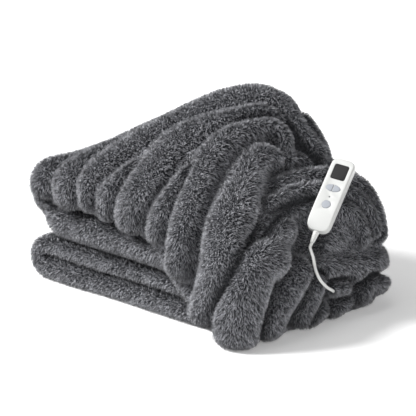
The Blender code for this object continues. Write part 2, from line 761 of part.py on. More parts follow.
def add_loft(mesh, rings):
    """A closed solid through rings of points in space that all have the same count."""
    rows = [[mesh.verts.new(point) for point in ring] for ring in rings]
    for low, high in zip(rows, rows[1:]):
        for k in range(len(low)):
            mesh.faces.new((low[k - 1], low[k], high[k], high[k - 1]))
    mesh.faces.new(rows[0][::-1])
    mesh.faces.new(rows[-1])


def add_prism(mesh, outline, low, high, top_share=1.0, chamfer=0.0):
    """A closed solid of an outline in x and y between two heights, with its top edge drawn in a little."""
    levels = [(1.0, low), (1.0, high - chamfer)]
    if chamfer:
        levels.append((top_share, high))
    add_loft(mesh, [[(x, y, z) for x, y in scaled(outline, share)] for share, z in levels])


def arc_inset(distance, radius):
    """How far a rounded corner stands in from its edge, at a distance from its end."""
    short = max(radius - distance, 0.0)
    return radius - math.sqrt(max(radius**2 - short**2, 0.0))


def housing_sections():
    """Cross-sections of the housing from foot to top, each a ring of points."""
    half = CONTROLLER_LENGTH / 2
    turns = [(1 - math.cos(math.pi / 2 * k / END_STEPS)) for k in range(END_STEPS + 1)]
    ends = [(y, FOOT_ROUND) for y in np.array(turns) * half * END_SHARE]
    ends += [(CONTROLLER_LENGTH - y, TOP_ROUND) for y in np.array(turns[::-1]) * half * END_SHARE]
    rings = []
    for y, corner in ends:
        from_end = min(y, CONTROLLER_LENGTH - y)
        width = CONTROLLER_WIDTH - 2 * arc_inset(from_end, corner) - 2 * arc_inset(from_end, EDGE_ROUND)
        bent = smooth_step(y / FOOT_BEND)
        thickness = FOOT_THICKNESS + (CONTROLLER_THICKNESS - FOOT_THICKNESS) * bent
        inset = arc_inset(from_end, EDGE_ROUND)
        low, high = inset, thickness - inset
        edge = min(EDGE_ROUND, (high - low) * EDGE_MOST_SHARE)
        section = rounded_rectangle(width, high - low, edge, (0.0, (low + high) / 2))
        rings.append([(x, y, z) for x, z in section])
    return rings


def make_controller(parent, plastic, glass, key_rubber, lens):
    """The housing with its pockets, and the window, keys and indicator that sit in them."""
    face = CONTROLLER_THICKNESS
    window = rounded_rectangle(WINDOW_WIDTH, WINDOW_LENGTH, WINDOW_CORNER, (0.0, WINDOW_Y))
    window_pocket = rounded_rectangle(
        WINDOW_WIDTH + 2 * FIT_GAP, WINDOW_LENGTH + 2 * FIT_GAP, WINDOW_CORNER + FIT_GAP, (0.0, WINDOW_Y)
    )
    power = disc(POWER_KEY_RADIUS, (0.0, POWER_KEY_Y))
    indicator = disc(INDICATOR_RADIUS, (0.0, INDICATOR_Y))

    cutters = bmesh.new()
    add_prism(cutters, window_pocket, face - WINDOW_DEPTH, face + CUT_PAST)
    lens_pocket = disc(INDICATOR_RADIUS + FIT_GAP, (0.0, INDICATOR_Y))
    power_pocket = disc(POWER_KEY_RADIUS + KEY_GAP, (0.0, POWER_KEY_Y))
    add_prism(cutters, lens_pocket, face - WINDOW_DEPTH, face + CUT_PAST)
    add_prism(cutters, power_pocket, face - KEY_POCKET, face + CUT_PAST)
    for side in (-1, 1):
        add_prism(cutters, half_oval(side, KEY_GAP), face - KEY_POCKET, face + CUT_PAST)
    cutter = helper_object("controller_pockets", cutters, parent)

    shell = bmesh.new()
    add_loft(shell, housing_sections())
    housing = new_object("controller_housing", shell, plastic, parent)
    add_boolean(housing, cutter, "DIFFERENCE")

    shallow = (WINDOW_DEPTH - FIT_GAP, WINDOW_PROUD)
    pieces = {
        "controller_window": (window, *shallow, WINDOW_TOP_SHARE, glass),
        "controller_indicator": (indicator, *shallow, INDICATOR_TOP_SHARE, lens),
    }
    for name, outline in (("key_minus", half_oval(-1)), ("key_plus", half_oval(1)), ("key_power", power)):
        pieces[name] = (outline, KEY_POCKET - KEY_TRAVEL - FIT_GAP, KEY_PROUD, KEY_TOP_SHARE, key_rubber)
    for name, (outline, deep, proud, top_share, material) in pieces.items():
        middle = Vector((*np.mean(outline, axis=0), face))
        mesh = bmesh.new()
        centred = [(x - middle.x, y - middle.y) for x, y in outline]
        add_prism(mesh, centred, -deep, proud, top_share, TOP_CHAMFER)
        new_object(name, mesh, material, parent).location = middle


def make_strain_relief(parent, plastic):
    """The ribbed sleeve at the controller's foot: a turned profile that narrows to the cord."""
    profile = [(RELIEF_RADIUS * RELIEF_ROOT, 0.0)]
    pitch = RELIEF_LENGTH / RELIEF_RIBS
    for rib in range(RELIEF_RIBS):
        radius = RELIEF_RADIUS + (RELIEF_TIP_RADIUS - RELIEF_RADIUS) * rib / (RELIEF_RIBS - 1)
        profile += [(radius - RELIEF_GROOVE * deep, pitch * (rib + share)) for share, deep in RIB_SHARES]
    mesh = bmesh.new()
    rings = []
    for radius, down in profile:
        ring = disc(radius, (0.0, FOOT_THICKNESS / 2))
        rings.append([(x, -FIT_GAP - down, z) for x, z in ring])
    add_loft(mesh, rings)
    new_object("strain_relief", mesh, plastic, parent)


def cord_points():
    """The cord's route as an even run of points: out of the sleeve, down over the folds and into one."""
    sleeve_end = -FIT_GAP - RELIEF_LENGTH
    leaving = [Vector((0.0, sleeve_end - back, FOOT_THICKNESS / 2)) for back in (CORD_GAP, CORD_STRAIGHT)]
    start = [tuple(controller_matrix() @ place) for place in leaving]
    return catmull_rom(start + list(CORD_ROUTE), CORD_COUNT)


def make_cord(plastic, parent):
    data = bpy.data.curves.new("cord", "CURVE")
    data.dimensions = "3D"
    points = cord_points()
    spline = data.splines.new("POLY")
    spline.points.add(len(points) - 1)
    for point, place in zip(spline.points, points):
        point.co = (*place, 1.0)
    data.bevel_depth = CORD_RADIUS
    data.bevel_resolution = 3
    data.use_fill_caps = True
    data.materials.append(plastic)
    made = bpy.data.objects.new("cord", data)
    made.parent = parent
    bpy.context.scene.collection.objects.link(made)


# ---------------------------------------------------------------- objects


def new_object(name, mesh, material=None, parent=None):
    data = bpy.data.meshes.new(name)
    bmesh.ops.recalc_face_normals(mesh, faces=mesh.faces)
    mesh.to_mesh(data)
    mesh.free()
    if material:
        data.materials.append(material)
    made = bpy.data.objects.new(name, data)
    made.parent = parent
    bpy.context.scene.collection.objects.link(made)
    return made


def helper_object(name, mesh, parent=None):
    """A cutter or other shape that isn't itself part of the object."""
    helper = new_object(name, mesh, parent=parent)
    helper.hide_render = True
    helper.display_type = "WIRE"
    return helper


def add_boolean(made, helper, operation):
    modifier = made.modifiers.new(f"{operation.lower()}_{helper.name}", "BOOLEAN")
    modifier.operation = operation
    modifier.solver = "EXACT"
    modifier.object = helper


def make_material(name, colour, roughness, metallic=0.0):
    material = bpy.data.materials.new(name)
    material.use_nodes = True
    shader = material.node_tree.nodes["Principled BSDF"]
    shader.inputs["Base Color"].default_value = (*colour, 1.0)
    shader.inputs["Roughness"].default_value = roughness
    shader.inputs["Metallic"].default_value = metallic
    return material


def cord_pocket():
    """The mouth of the fold that the cord goes into: a short round hole along the cord's last stretch."""
    route = cord_points()
    end = Vector(route[-1])
    axis = (end - Vector(route[-3])).normalized()
    turn = axis.to_track_quat("Z", "Y").to_matrix()
    mesh = bmesh.new()
    rings = []
    for reach in POCKET_REACH:
        ring = disc(POCKET_RADIUS, (0.0, 0.0), POCKET_STEPS)
        rings.append([tuple(turn @ Vector((x, y, reach)) + end) for x, y in ring])
    add_loft(mesh, rings)
    return mesh


def make_blanket(parent, plush):
    """The cover and the laps under it as one cloth."""
    blanket = new_object("blanket", gathered_cover(), plush, parent)
    coarse = blanket.modifiers.new("coarse", "DECIMATE")
    coarse.ratio = COVER_TRIANGLES
    coarse.use_collapse_triangulate = True
    add_boolean(blanket, helper_object("laps", folded_laps(), parent), "UNION")
    add_boolean(blanket, helper_object("cord_pocket", cord_pocket(), parent), "DIFFERENCE")


def stand_on_origin(root):
    """Move the root so that the middle of the object's base, without its cord, is the origin."""
    bpy.context.view_layer.update()
    graph = bpy.context.evaluated_depsgraph_get()
    corners = []
    for made in bpy.data.objects:
        if made.type == "MESH" and not made.hide_render:
            shape = made.evaluated_get(graph)
            corners += [shape.matrix_world @ vertex.co for vertex in shape.data.vertices]
    corners = np.array(corners)
    low, high = corners.min(axis=0), corners.max(axis=0)
    root.location = (-(low[0] + high[0]) / 2, -(low[1] + high[1]) / 2, -low[2])


def clear_scene():
    for old in list(bpy.data.objects):
        bpy.data.objects.remove(old, do_unlink=True)


def new_empty(name, matrix, parent=None):
    empty = bpy.data.objects.new(name, None)
    empty.matrix_local = matrix
    empty.parent = parent
    bpy.context.scene.collection.objects.link(empty)
    return empty


def main():
    clear_scene()
    plush = make_material("grey_plush", (0.13, 0.13, 0.14), 0.95)
    plastic = make_material("white_plastic", (0.86, 0.86, 0.85), 0.35)
    glass = make_material("window_black", (0.012, 0.012, 0.013), 0.08)
    key_rubber = make_material("key_grey", (0.37, 0.39, 0.42), 0.55)
    lens = make_material("indicator_grey", (0.20, 0.21, 0.22), 0.30)
    root = new_empty("heap", Matrix())
    make_blanket(root, plush)
    controller = new_empty("controller", controller_matrix(), root)
    make_controller(controller, plastic, glass, key_rubber, lens)
    make_strain_relief(controller, plastic)
    make_cord(plastic, root)
    stand_on_origin(root)


if __name__ == "__main__":
    main()
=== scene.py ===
"""The looks of a folded plush heated blanket with its hand controller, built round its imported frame.

Metres, in the frame's own axes: +Z up, the floor at z = 0, the folded edges on the -Y side and the
controller on the +X shoulder. Each operator makes one piece or one group of like pieces.
"""

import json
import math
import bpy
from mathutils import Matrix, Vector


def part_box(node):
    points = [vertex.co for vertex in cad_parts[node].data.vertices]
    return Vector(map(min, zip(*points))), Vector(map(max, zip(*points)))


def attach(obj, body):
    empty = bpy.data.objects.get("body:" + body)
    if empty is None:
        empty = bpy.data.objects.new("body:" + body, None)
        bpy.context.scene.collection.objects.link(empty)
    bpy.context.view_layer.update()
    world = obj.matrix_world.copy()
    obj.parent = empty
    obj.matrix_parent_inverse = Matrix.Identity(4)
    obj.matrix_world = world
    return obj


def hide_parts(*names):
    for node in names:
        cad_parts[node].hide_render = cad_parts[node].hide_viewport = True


bl_info = {
    "name": "Folded heated blanket",
    "version": (1, 0, 0),
    "blender": (4, 5, 0),
    "location": "3D Viewport > Sidebar > Heated blanket",
    "description": "Makes the plush cloth, its pile, the hand controller and its cord round a packed frame",
    "category": "Object",
}

import bmesh
import bpy
import numpy as np
from mathutils import Matrix, Vector, noise
from mathutils.bvhtree import BVHTree

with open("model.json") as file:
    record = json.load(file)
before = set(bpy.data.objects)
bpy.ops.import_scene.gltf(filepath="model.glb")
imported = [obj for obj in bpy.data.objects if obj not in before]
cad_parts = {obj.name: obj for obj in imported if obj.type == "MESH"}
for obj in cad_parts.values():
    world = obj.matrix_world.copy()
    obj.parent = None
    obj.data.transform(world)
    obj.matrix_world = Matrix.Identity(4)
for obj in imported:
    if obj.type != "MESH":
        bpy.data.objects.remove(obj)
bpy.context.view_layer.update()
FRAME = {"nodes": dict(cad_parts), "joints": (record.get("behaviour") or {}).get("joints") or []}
NODES = FRAME["nodes"]
CLOTH_BODY = "blanket"
KEY_NAMES = ("key_minus", "key_plus", "key_power")

# The controller's own measures, which its pieces' places in the frame are read from.
CONTROLLER_WIDTH = 0.047
CONTROLLER_LENGTH = 0.160
CONTROLLER_THICKNESS = 0.020
POWER_KEY_UP = 0.056  # from the controller's foot
KEY_PROUD = 0.0010
SLEEVE_REACH = 0.0243  # from the controller's foot to the sleeve's end
FOOT_MIDDLE = 0.007  # half the controller's thickness at its foot

# Places in the heap's own axes, from which the frame is moved to stand on its origin.
CONTROLLER_FOOT = (0.2808, -0.0073, 0.1833)  # the middle of its foot end, on its back
CORD_RADIUS = 0.003
CORD_GAP = 0.0007  # from the sleeve's end
CORD_STRAIGHT = 0.010  # it leaves the sleeve straight for this far
CORD_POINTS = 40
CORD_ROUTE = (
    (0.307, -0.046, 0.152),
    (0.3195, -0.0535, 0.1335),
    (0.3235, -0.045, 0.112),
    (0.325, -0.028, 0.093),
    (0.320, -0.006, 0.079),
    (0.307, 0.012, 0.069),
    (0.296, 0.022, 0.064),
)


# ---------------------------------------------------------------- the cloth's own measures

# The laps from the floor up. x_left and x_right are the turn centres, z its middle, band its thickness.
LAP_COLUMNS = ("x_left", "x_right", "z", "band", "y_front", "y_back")
LAPS = (
    (-0.2850, 0.250, 0.0240, 0.048, -0.190, 0.166),
    (-0.2850, 0.205, 0.0680, 0.036, -0.186, 0.162),
    (-0.2540, 0.205, 0.1235, 0.068, -0.190, 0.164),
    (-0.2540, 0.180, 0.1850, 0.048, -0.150, 0.146),
    (-0.0850, 0.180, 0.2330, 0.044, -0.108, 0.140),
    (-0.0850, 0.060, 0.2780, 0.042, -0.030, 0.134),
    (-0.0300, 0.060, 0.3190, 0.038, 0.030, 0.128),
)

# The cover's rim, walked from the front left corner anticlockwise as seen from above.
RIM_COLUMNS = ("x", "y", "z_edge", "turned_under")
RIM = {
    "front_left": (-0.308, -0.168, 0.150, 0.018),
    "front_1": (-0.180, -0.184, 0.163, 0.018),
    "front_2": (-0.070, -0.188, 0.160, 0.018),
    "front_3": (0.010, -0.190, 0.138, 0.018),
    "front_4": (0.075, -0.196, 0.080, 0.018),
    "front_5": (0.135, -0.200, 0.034, 0.022),
    "front_6": (0.190, -0.204, 0.006, 0.028),
    "front_right": (0.262, -0.206, 0.002, 0.032),
    "right_1": (0.286, -0.110, 0.002, 0.026),
    "right_2": (0.288, 0.030, 0.002, 0.022),
    "back_right": (0.284, 0.166, 0.002, 0.022),
    "back_1": (0.150, 0.182, 0.060, 0.016),
    "back_2": (0.000, 0.186, 0.115, 0.018),
    "back_3": (-0.170, 0.184, 0.135, 0.020),
    "back_left": (-0.300, 0.160, 0.110, 0.024),
    "left_1": (-0.322, 0.060, 0.094, 0.026),
    "left_2": (-0.324, -0.110, 0.094, 0.026),
}
RIM_CORNERS = ("front_left", "front_right", "back_right", "back_left")

# The heap's rise over the cover's shoulder.
HUMP_COLUMNS = ("x", "rise")
HUMP = (
    (-0.330, 0.000),
    (-0.250, 0.008),
    (-0.130, 0.084),
    (-0.030, 0.128),
    (0.050, 0.134),
    (0.095, 0.104),
    (0.135, 0.056),
    (0.180, 0.026),
    (0.250, 0.022),
    (0.330, 0.000),
)

# The rolls of the gathered cover: each one's height, and the places along its crest. Many places of the
# left, crest, front, corner and shoulder rolls were worked out outside this file, by casting points picked
# along the photographed rolls onto the cover's form. The heights and half widths were chosen.
RIDGE_COLUMNS = ("x", "y", "z", "half_width")
RIDGES = {
    "left_roll": (
        0.014,
        [
            (-0.324, -0.130, 0.160, 0.070), (-0.326, 0.000, 0.160, 0.070), (-0.320, 0.140, 0.160, 0.070),
        ],
    ),
    "left_1": (
        0.026,
        [
            (-0.298, -0.178, 0.190, 0.034), (-0.298, -0.152, 0.230, 0.034), (-0.292, -0.060, 0.245, 0.036),
            (-0.290, 0.060, 0.245, 0.036), (-0.298, 0.172, 0.180, 0.034),
        ],
    ),
    "left_2": (
        0.028,
        [
            (-0.216, -0.206, 0.195, 0.036), (-0.220, -0.196, 0.228, 0.038), (-0.222, -0.174, 0.250, 0.038),
            (-0.220, -0.130, 0.265, 0.038), (-0.212, -0.070, 0.272, 0.038), (-0.206, 0.060, 0.280, 0.040),
            (-0.212, 0.184, 0.200, 0.038),
        ],
    ),
    "crest": (
        0.031,
        [
            (-0.144, -0.204, 0.198, 0.024), (-0.152, -0.196, 0.235, 0.028), (-0.155, -0.172, 0.262, 0.034),
            (-0.152, -0.130, 0.284, 0.040), (-0.142, -0.080, 0.300, 0.044), (-0.120, -0.020, 0.328, 0.046),
            (-0.072, 0.044, 0.361, 0.044), (-0.020, 0.078, 0.384, 0.042), (0.027, 0.098, 0.395, 0.040),
            (0.071, 0.114, 0.392, 0.038), (0.104, 0.121, 0.368, 0.036), (0.130, 0.124, 0.338, 0.034),
            (0.156, 0.130, 0.306, 0.030), (0.186, 0.146, 0.275, 0.026),
        ],
    ),
    "crest_end": (
        0.022,
        [
            (0.112, 0.096, 0.350, 0.012), (0.134, 0.102, 0.322, 0.015), (0.154, 0.108, 0.298, 0.015),
            (0.176, 0.120, 0.276, 0.013),
        ],
    ),
    "front_a": (
        0.024,
        [
            (-0.102, -0.216, 0.190, 0.026), (-0.096, -0.210, 0.222, 0.030), (-0.086, -0.196, 0.248, 0.030),
            (-0.076, -0.172, 0.268, 0.028), (-0.068, -0.145, 0.286, 0.022),
        ],
    ),
    "front_b": (
        0.032,
        [
            (-0.035, -0.213, 0.190, 0.036), (-0.028, -0.205, 0.232, 0.042), (-0.024, -0.182, 0.268, 0.046),
            (-0.028, -0.137, 0.298, 0.046), (-0.034, -0.080, 0.322, 0.044), (-0.010, -0.040, 0.346, 0.040),
            (0.031, -0.004, 0.365, 0.034), (0.068, 0.036, 0.378, 0.030), (0.090, 0.068, 0.378, 0.026),
            (0.112, 0.086, 0.360, 0.022),
        ],
    ),
    "front_c": (
        0.026,
        [
            (0.039, -0.217, 0.178, 0.026), (0.048, -0.208, 0.222, 0.026), (0.056, -0.187, 0.259, 0.024),
            (0.060, -0.160, 0.286, 0.020), (0.058, -0.129, 0.306, 0.016),
        ],
    ),
    "front_d": (
        0.035,
        [
            (0.108, -0.226, 0.130, 0.034), (0.112, -0.218, 0.190, 0.036), (0.111, -0.196, 0.240, 0.036),
            (0.101, -0.156, 0.284, 0.035), (0.086, -0.107, 0.320, 0.034), (0.080, -0.056, 0.344, 0.032),
            (0.088, -0.001, 0.360, 0.030), (0.104, 0.046, 0.362, 0.028), (0.127, 0.066, 0.348, 0.026),
            (0.146, 0.064, 0.326, 0.022),
        ],
    ),
    "front_e": (
        0.044,
        [
            (0.186, -0.205, 0.060, 0.036), (0.205, -0.210, 0.105, 0.042), (0.221, -0.206, 0.156, 0.046),
            (0.212, -0.190, 0.190, 0.046), (0.193, -0.150, 0.228, 0.046), (0.163, -0.096, 0.250, 0.043),
            (0.132, -0.036, 0.278, 0.038), (0.124, 0.004, 0.292, 0.033), (0.136, 0.022, 0.280, 0.024),
        ],
    ),
    "corner": (
        0.044,
        [
            (0.260, -0.207, 0.026, 0.041), (0.263, -0.204, 0.070, 0.046), (0.268, -0.193, 0.112, 0.047),
            (0.270, -0.176, 0.148, 0.046), (0.271, -0.148, 0.172, 0.042), (0.268, -0.112, 0.181, 0.041),
            (0.246, -0.062, 0.198, 0.037),
        ],
    ),
    "corner_b": (
        0.036,
        [
            (0.300, -0.150, 0.040, 0.036), (0.302, -0.130, 0.072, 0.036), (0.304, -0.098, 0.104, 0.034),
            (0.303, -0.070, 0.126, 0.026),
        ],
    ),
    "corner_c": (
        0.034,
        [
            (0.304, -0.070, 0.040, 0.028), (0.304, -0.046, 0.075, 0.030), (0.304, -0.030, 0.105, 0.026),
        ],
    ),
    "shoulder_d": (
        0.027,
        [
            (0.254, -0.166, 0.200, 0.018), (0.241, -0.126, 0.210, 0.021), (0.234, -0.070, 0.223, 0.023),
            (0.232, -0.021, 0.230, 0.023), (0.237, 0.026, 0.229, 0.023), (0.262, 0.066, 0.214, 0.022),
            (0.277, 0.094, 0.200, 0.022), (0.286, 0.104, 0.178, 0.022), (0.291, 0.106, 0.150, 0.020),
        ],
    ),
    "shoulder_c": (
        0.028,
        [
            (0.212, -0.072, 0.238, 0.018), (0.216, -0.030, 0.241, 0.021), (0.222, 0.015, 0.243, 0.022),
            (0.229, 0.056, 0.243, 0.022), (0.248, 0.091, 0.235, 0.023), (0.264, 0.115, 0.221, 0.025),
            (0.278, 0.132, 0.200, 0.027), (0.288, 0.143, 0.160, 0.025),
        ],
    ),
    "shoulder_b": (
        0.026,
        [
            (0.176, -0.014, 0.251, 0.017), (0.180, 0.034, 0.255, 0.019), (0.194, 0.075, 0.253, 0.022),
            (0.215, 0.112, 0.250, 0.026), (0.246, 0.146, 0.228, 0.031), (0.270, 0.164, 0.186, 0.034),
            (0.276, 0.166, 0.146, 0.030),
        ],
    ),
    "shoulder_a": (
        0.022,
        [
            (0.144, 0.040, 0.279, 0.016), (0.148, 0.086, 0.279, 0.018), (0.163, 0.124, 0.267, 0.021),
        ],
    ),
    "low_band": (
        0.024,
        [
            (0.300, -0.030, 0.120, 0.024), (0.300, 0.035, 0.106, 0.030), (0.300, 0.100, 0.092, 0.034),
            (0.284, 0.155, 0.086, 0.036), (0.240, 0.176, 0.080, 0.036),
        ],
    ),
    "low_lobe_a": (0.032, [(0.300, 0.010, 0.076, 0.022), (0.300, 0.045, 0.070, 0.024)]),
    "low_lobe_b": (
        0.03,
        [
            (0.300, 0.096, 0.040, 0.024), (0.298, 0.118, 0.062, 0.026), (0.286, 0.150, 0.050, 0.028),
        ],
    ),
    "low_lobe_c": (0.026, [(0.300, 0.028, 0.026, 0.022), (0.300, 0.056, 0.034, 0.020)]),
    "low_lobe_d": (0.026, [(0.302, -0.040, 0.024, 0.024), (0.302, -0.012, 0.034, 0.022)]),
    "back_a": (
        0.028,
        [
            (-0.125, 0.190, 0.170, 0.040), (-0.120, 0.172, 0.250, 0.038), (-0.095, 0.130, 0.330, 0.034),
        ],
    ),
    "back_b": (
        0.028,
        [
            (-0.045, 0.192, 0.160, 0.038), (-0.040, 0.172, 0.270, 0.036), (-0.030, 0.140, 0.350, 0.034),
        ],
    ),
    "back_c": (
        0.028,
        [
            (0.035, 0.190, 0.150, 0.036), (0.035, 0.172, 0.280, 0.036), (0.035, 0.150, 0.360, 0.034),
        ],
    ),
    "back_d": (
        0.028,
        [
            (0.115, 0.188, 0.110, 0.038), (0.108, 0.172, 0.240, 0.036), (0.100, 0.155, 0.330, 0.034),
        ],
    ),
    "back_e": (
        0.028,
        [
            (0.195, 0.186, 0.085, 0.038), (0.186, 0.172, 0.190, 0.036), (0.172, 0.155, 0.270, 0.030),
        ],
    ),
}

COVER_CENTRE = (0.030, 0.060)
COVER_TOP = 0.236  # the shoulder's height, before the hump and the ridges
COVER_SQUARENESS = 4.6  # 2 is a dome, and more is a rounder-cornered box
COVER_SIDE_SHARE = 0.90  # of the cover's grid from its centre to its widest line
HUMP_SPREAD = 1.6  # how soon the hump has its whole height, going up the cover's sides
HUMP_Y = 0.112  # the hump's crest
HUMP_FRONT = 0.330  # how far it runs out towards the front
HUMP_BACK = 0.210
HUMP_SLOPE = 1.35  # 1 is a straight slope, and more is a rounder top
HUMP_SAMPLES = 200
RIM_SAMPLES = 960
RIDGE_FULLNESS = 0.6  # 0.5 is a half round ridge, and 1 is a flatter one
RIDGE_SAMPLES = 24  # along its crest, for each of its rows
RIDGE_HOLLOW = 0.55  # of a ridge's height, how far the cover's inside follows it
UNDERSIDE_CALM = 0.7  # ridges fade towards the turned-under hem
CREASE_DEPTH = 0.020  # how much deeper the cloth folds in where two ridges meet
CREASE_BAND = 0.016  # the ridges' difference in height over which it does
CREASE_START = 0.005  # the lower ridge's height at which a crease has its whole depth
CREASE_NARROWNESS = 1.5  # of its line of painted shade and thinner pile: more keeps that nearer to the bottom
COVER_WALL = 0.011  # the cover's thickness at the bottom of a crease
PLY = 0.0195  # one thickness of plush cloth, pile included
PLY_SHARE = 0.42  # of a lap's band at most, so that its two plies stay a little apart
TURN_GAP = 0.0015  # between a lap and the next, at the crease of its turn
HEM_STAGGER = 0.014  # the doubled cloth's two open edges don't line up
HEM_ROUND = 0.4  # of a ply, how far its hem bulges
FRONT_WANDER = 0.004  # how far the folded edges lie from a straight line
BACK_WANDER = 0.007
WANDERS = ((0.6, 9.0, 1.0), (0.4, 23.0, 2.3))  # share, waves in radians a metre, and share of the phase
COVER_JOIN_RISE = 0.030  # how far the top lap climbs to run into the cover
BED_DEPTH = 0.029  # the heap dips this far under the controller before its ridges are added
BED_SLOPE = 1.0  # and rises this steeply beside it
DENT_BESIDE = 0.004  # this flat place is wider than the controller by as much on each side
DENT_SLOPE = 3.0  # and the plush rises this steeply beyond it
DENT_REACH = 0.110  # the plush pressed down lay within this height over the controller's back

COVER_GRID = (208, 192)  # cells along x and y
INSIDE_STEP = 4  # the cover's inside has one cell for this many each way
SMOOTHINGS = 2  # passes over the ridged cover
BED_SMOOTHINGS = 18  # passes over the form under the ridges, which round the dip's edges
TURN_STEPS = 10  # faces round the half circle where a lap turns back
NOSE_STEPS = 10  # faces round the folded edge of a doubled lap
LAP_STEPS = 44  # sections along the flat run of a lap
RUN_STEPS = 10  # faces across a ply, from its folded edge to its hem
UNDER_CONTROLLER = 0.0075  # the ground lies this far under the controller
BESIDE_CORD = 0.0065  # and this far from the cord's side
OFF_FLOOR = 0.002
LEAST_HEIGHT = 0.0005  # no point of the finished cloth lies lower than this over the floor
FREE_CORD = 0.8  # of the cord's length, which the cloth keeps clear of
BACK_PHASE = 1.7  # sets the back edges' wander apart from the front edges'
TINY = 1e-9

# How much of the room a place on the cloth sees, which sets how full its pile is, and how dark the pile is
# painted as shade where it sees little.
SEEN_RAYS = 40
SEEN_LIFT = 0.004  # the rays start this far off the cloth
SEEN_REACH = 0.5
SEEN_GRAZING = 0.15  # rays nearer to the surface than this cosine are left out
SEEN_DOWN = -0.12  # and so are those that point further down than this
SEEN_OPEN = 0.42  # of the rays, which an open place sees
SEEN_LOWEST = 0.001  # places lower than this see nothing

LUMP_SIZES = ((0.65, 0.045), (0.35, 0.017))  # share of the height, and distance between lumps

TUFT_ROWS = ((0.0, 0.0, 1.0), (0.55, 0.10, 0.75))  # how far up a tuft, its bend and its width, as shares
TUFT_TIP = (0.94, 0.34)  # its tip's height and bend, as shares of its length
TUFT_POINTS = 2 * len(TUFT_ROWS) + 1
FIRST_SEED = 11  # of the first piece of pile, and each next piece has the next number
PILE_OFF_FLOOR = 0.0006
NEAR_HARD = 0.015  # tufts within this of the hard pieces' box are tested against them

MERGE_WITHIN = 0.00002  # a CAD node's loose triangles are joined where their corners are this near
FLAT_WITHIN = math.radians(0.6)  # faces that turn less than this are one face


# ---------------------------------------------------------------- settings


class ClothSettings(bpy.types.PropertyGroup):
    shrink: bpy.props.FloatProperty(
        name="Skin depth",
        description="How far the woven ground lies under the pile's tips",
        default=0.0045,
        unit="LENGTH",
    )
    lump: bpy.props.FloatProperty(
        name="Lumps",
        description="Height of the cloth's soft unevenness",
        default=0.0016,
        unit="LENGTH",
    )
    flat_width: bpy.props.FloatProperty(
        name="Flat width", description="Width of the throw laid flat", default=1.30, unit="LENGTH"
    )
    flat_length: bpy.props.FloatProperty(
        name="Flat length", description="Length of the throw laid flat", default=1.80, unit="LENGTH"
    )


class PileSettings(bpy.types.PropertyGroup):
    pieces: bpy.props.IntProperty(
        name="Pile pieces", description="Pieces that the pile is split into", default=5, min=1, max=5
    )
    tufts: bpy.props.IntProperty(
        name="Tufts", description="Tufts in each piece of pile", default=54000, min=1000, max=65000
    )
    length: bpy.props.FloatProperty(
        name="Pile length", description="Length of the longest tufts", default=0.0098, unit="LENGTH"
    )
    width: bpy.props.FloatProperty(
        name="Tuft width", description="Width of a tuft at its root", default=0.0014, unit="LENGTH"
    )
    clump: bpy.props.FloatProperty(
        name="Clump size",
        description="Distance over which tufts lean together",
        default=0.008,
        unit="LENGTH",
    )


class StageSettings(bpy.types.PropertyGroup):
    azimuth: bpy.props.FloatProperty(
        name="Azimuth",
        description="The camera's place round the object",
        default=math.radians(43.5),
        unit="ROTATION",
    )
    elevation: bpy.props.FloatProperty(
        name="Elevation",
        description="The camera's height angle",
        default=math.radians(18.6),
        unit="ROTATION",
    )
    distance: bpy.props.FloatProperty(
        name="Distance", description="From the camera to the object", default=8.19, unit="LENGTH"
    )
    lens: bpy.props.FloatProperty(
        name="Lens", description="Focal length for a 36 mm sensor", default=363.5, unit="CAMERA"
    )


SETTINGS = {"cloth": ClothSettings, "pile": PileSettings, "stage": StageSettings}


def settings(name):
    return getattr(bpy.context.scene, f"heated_blanket_{name}")


# ---------------------------------------------------------------- helpers


def linear(hex_colour, alpha=1.0):
    """An sRGB hex colour as linear RGBA."""
    channels = [int(hex_colour[k : k + 2], 16) / 255 for k in (1, 3, 5)]
    return (*((c / 12.92 if c <= 0.04045 else ((c + 0.055) / 1.055) ** 2.4) for c in channels), alpha)


def add_node(tree, kind, inputs=None, **attributes):
    """A node with its settings; an input's value is a plain value, or a socket to link from."""
    node = tree.nodes.new(kind)
    for name, value in attributes.items():
        setattr(node, name, value)
    for key, value in (inputs or {}).items():
        socket = node.inputs[key]
        if isinstance(value, bpy.types.NodeSocket):
            tree.links.new(value, socket)
        else:
            socket.default_value = value
    return node


def new_material(name, **shader_inputs):
    """A Principled material with constants on the shader's own sockets, with its tree and its shader."""
    material = bpy.data.materials.new(name)
    material.use_nodes = True
    tree = material.node_tree
    shader = tree.nodes["Principled BSDF"]
    for key, value in shader_inputs.items():
        shader.inputs[key.replace("_", " ")].default_value = value
    return material, tree, shader


def add_object(name, data):
    made = bpy.data.objects.new(name, data)
    bpy.context.scene.collection.objects.link(made)
    return made


def direction(azimuth, elevation):
    """The way out from the object's middle to a place round it, with the front at an azimuth of 0."""
    level = math.cos(elevation)
    return Vector((math.sin(azimuth) * level, -math.cos(azimuth) * level, math.sin(elevation)))


def aimed(name, data, place, way_out):
    """A camera or a light that stands at a place and looks back against the way out to it."""
    made = add_object(name, data)
    made.location = place
    made.rotation_euler = way_out.to_track_quat("Z", "Y").to_euler()
    return made


def read_each(items, name, width=1, kind=float):
    """What each item holds under a name, as an array with a row for each where it is several numbers."""
    values = np.empty(len(items) * width, kind)
    items.foreach_get(name, values)
    return values.reshape(-1, width) if width > 1 else values


def mesh_from_bmesh(name, mesh):
    data = bpy.data.meshes.new(name)
    mesh.to_mesh(data)
    mesh.free()
    return add_object(name, data)


def applied(obj):
    """The object's mesh with its modifiers worked in."""
    graph = bpy.context.evaluated_depsgraph_get()
    graph.update()
    data = bpy.data.meshes.new_from_object(obj.evaluated_get(graph), depsgraph=graph)
    obj.modifiers.clear()
    obj.data = data
    data.name = obj.name
    return obj


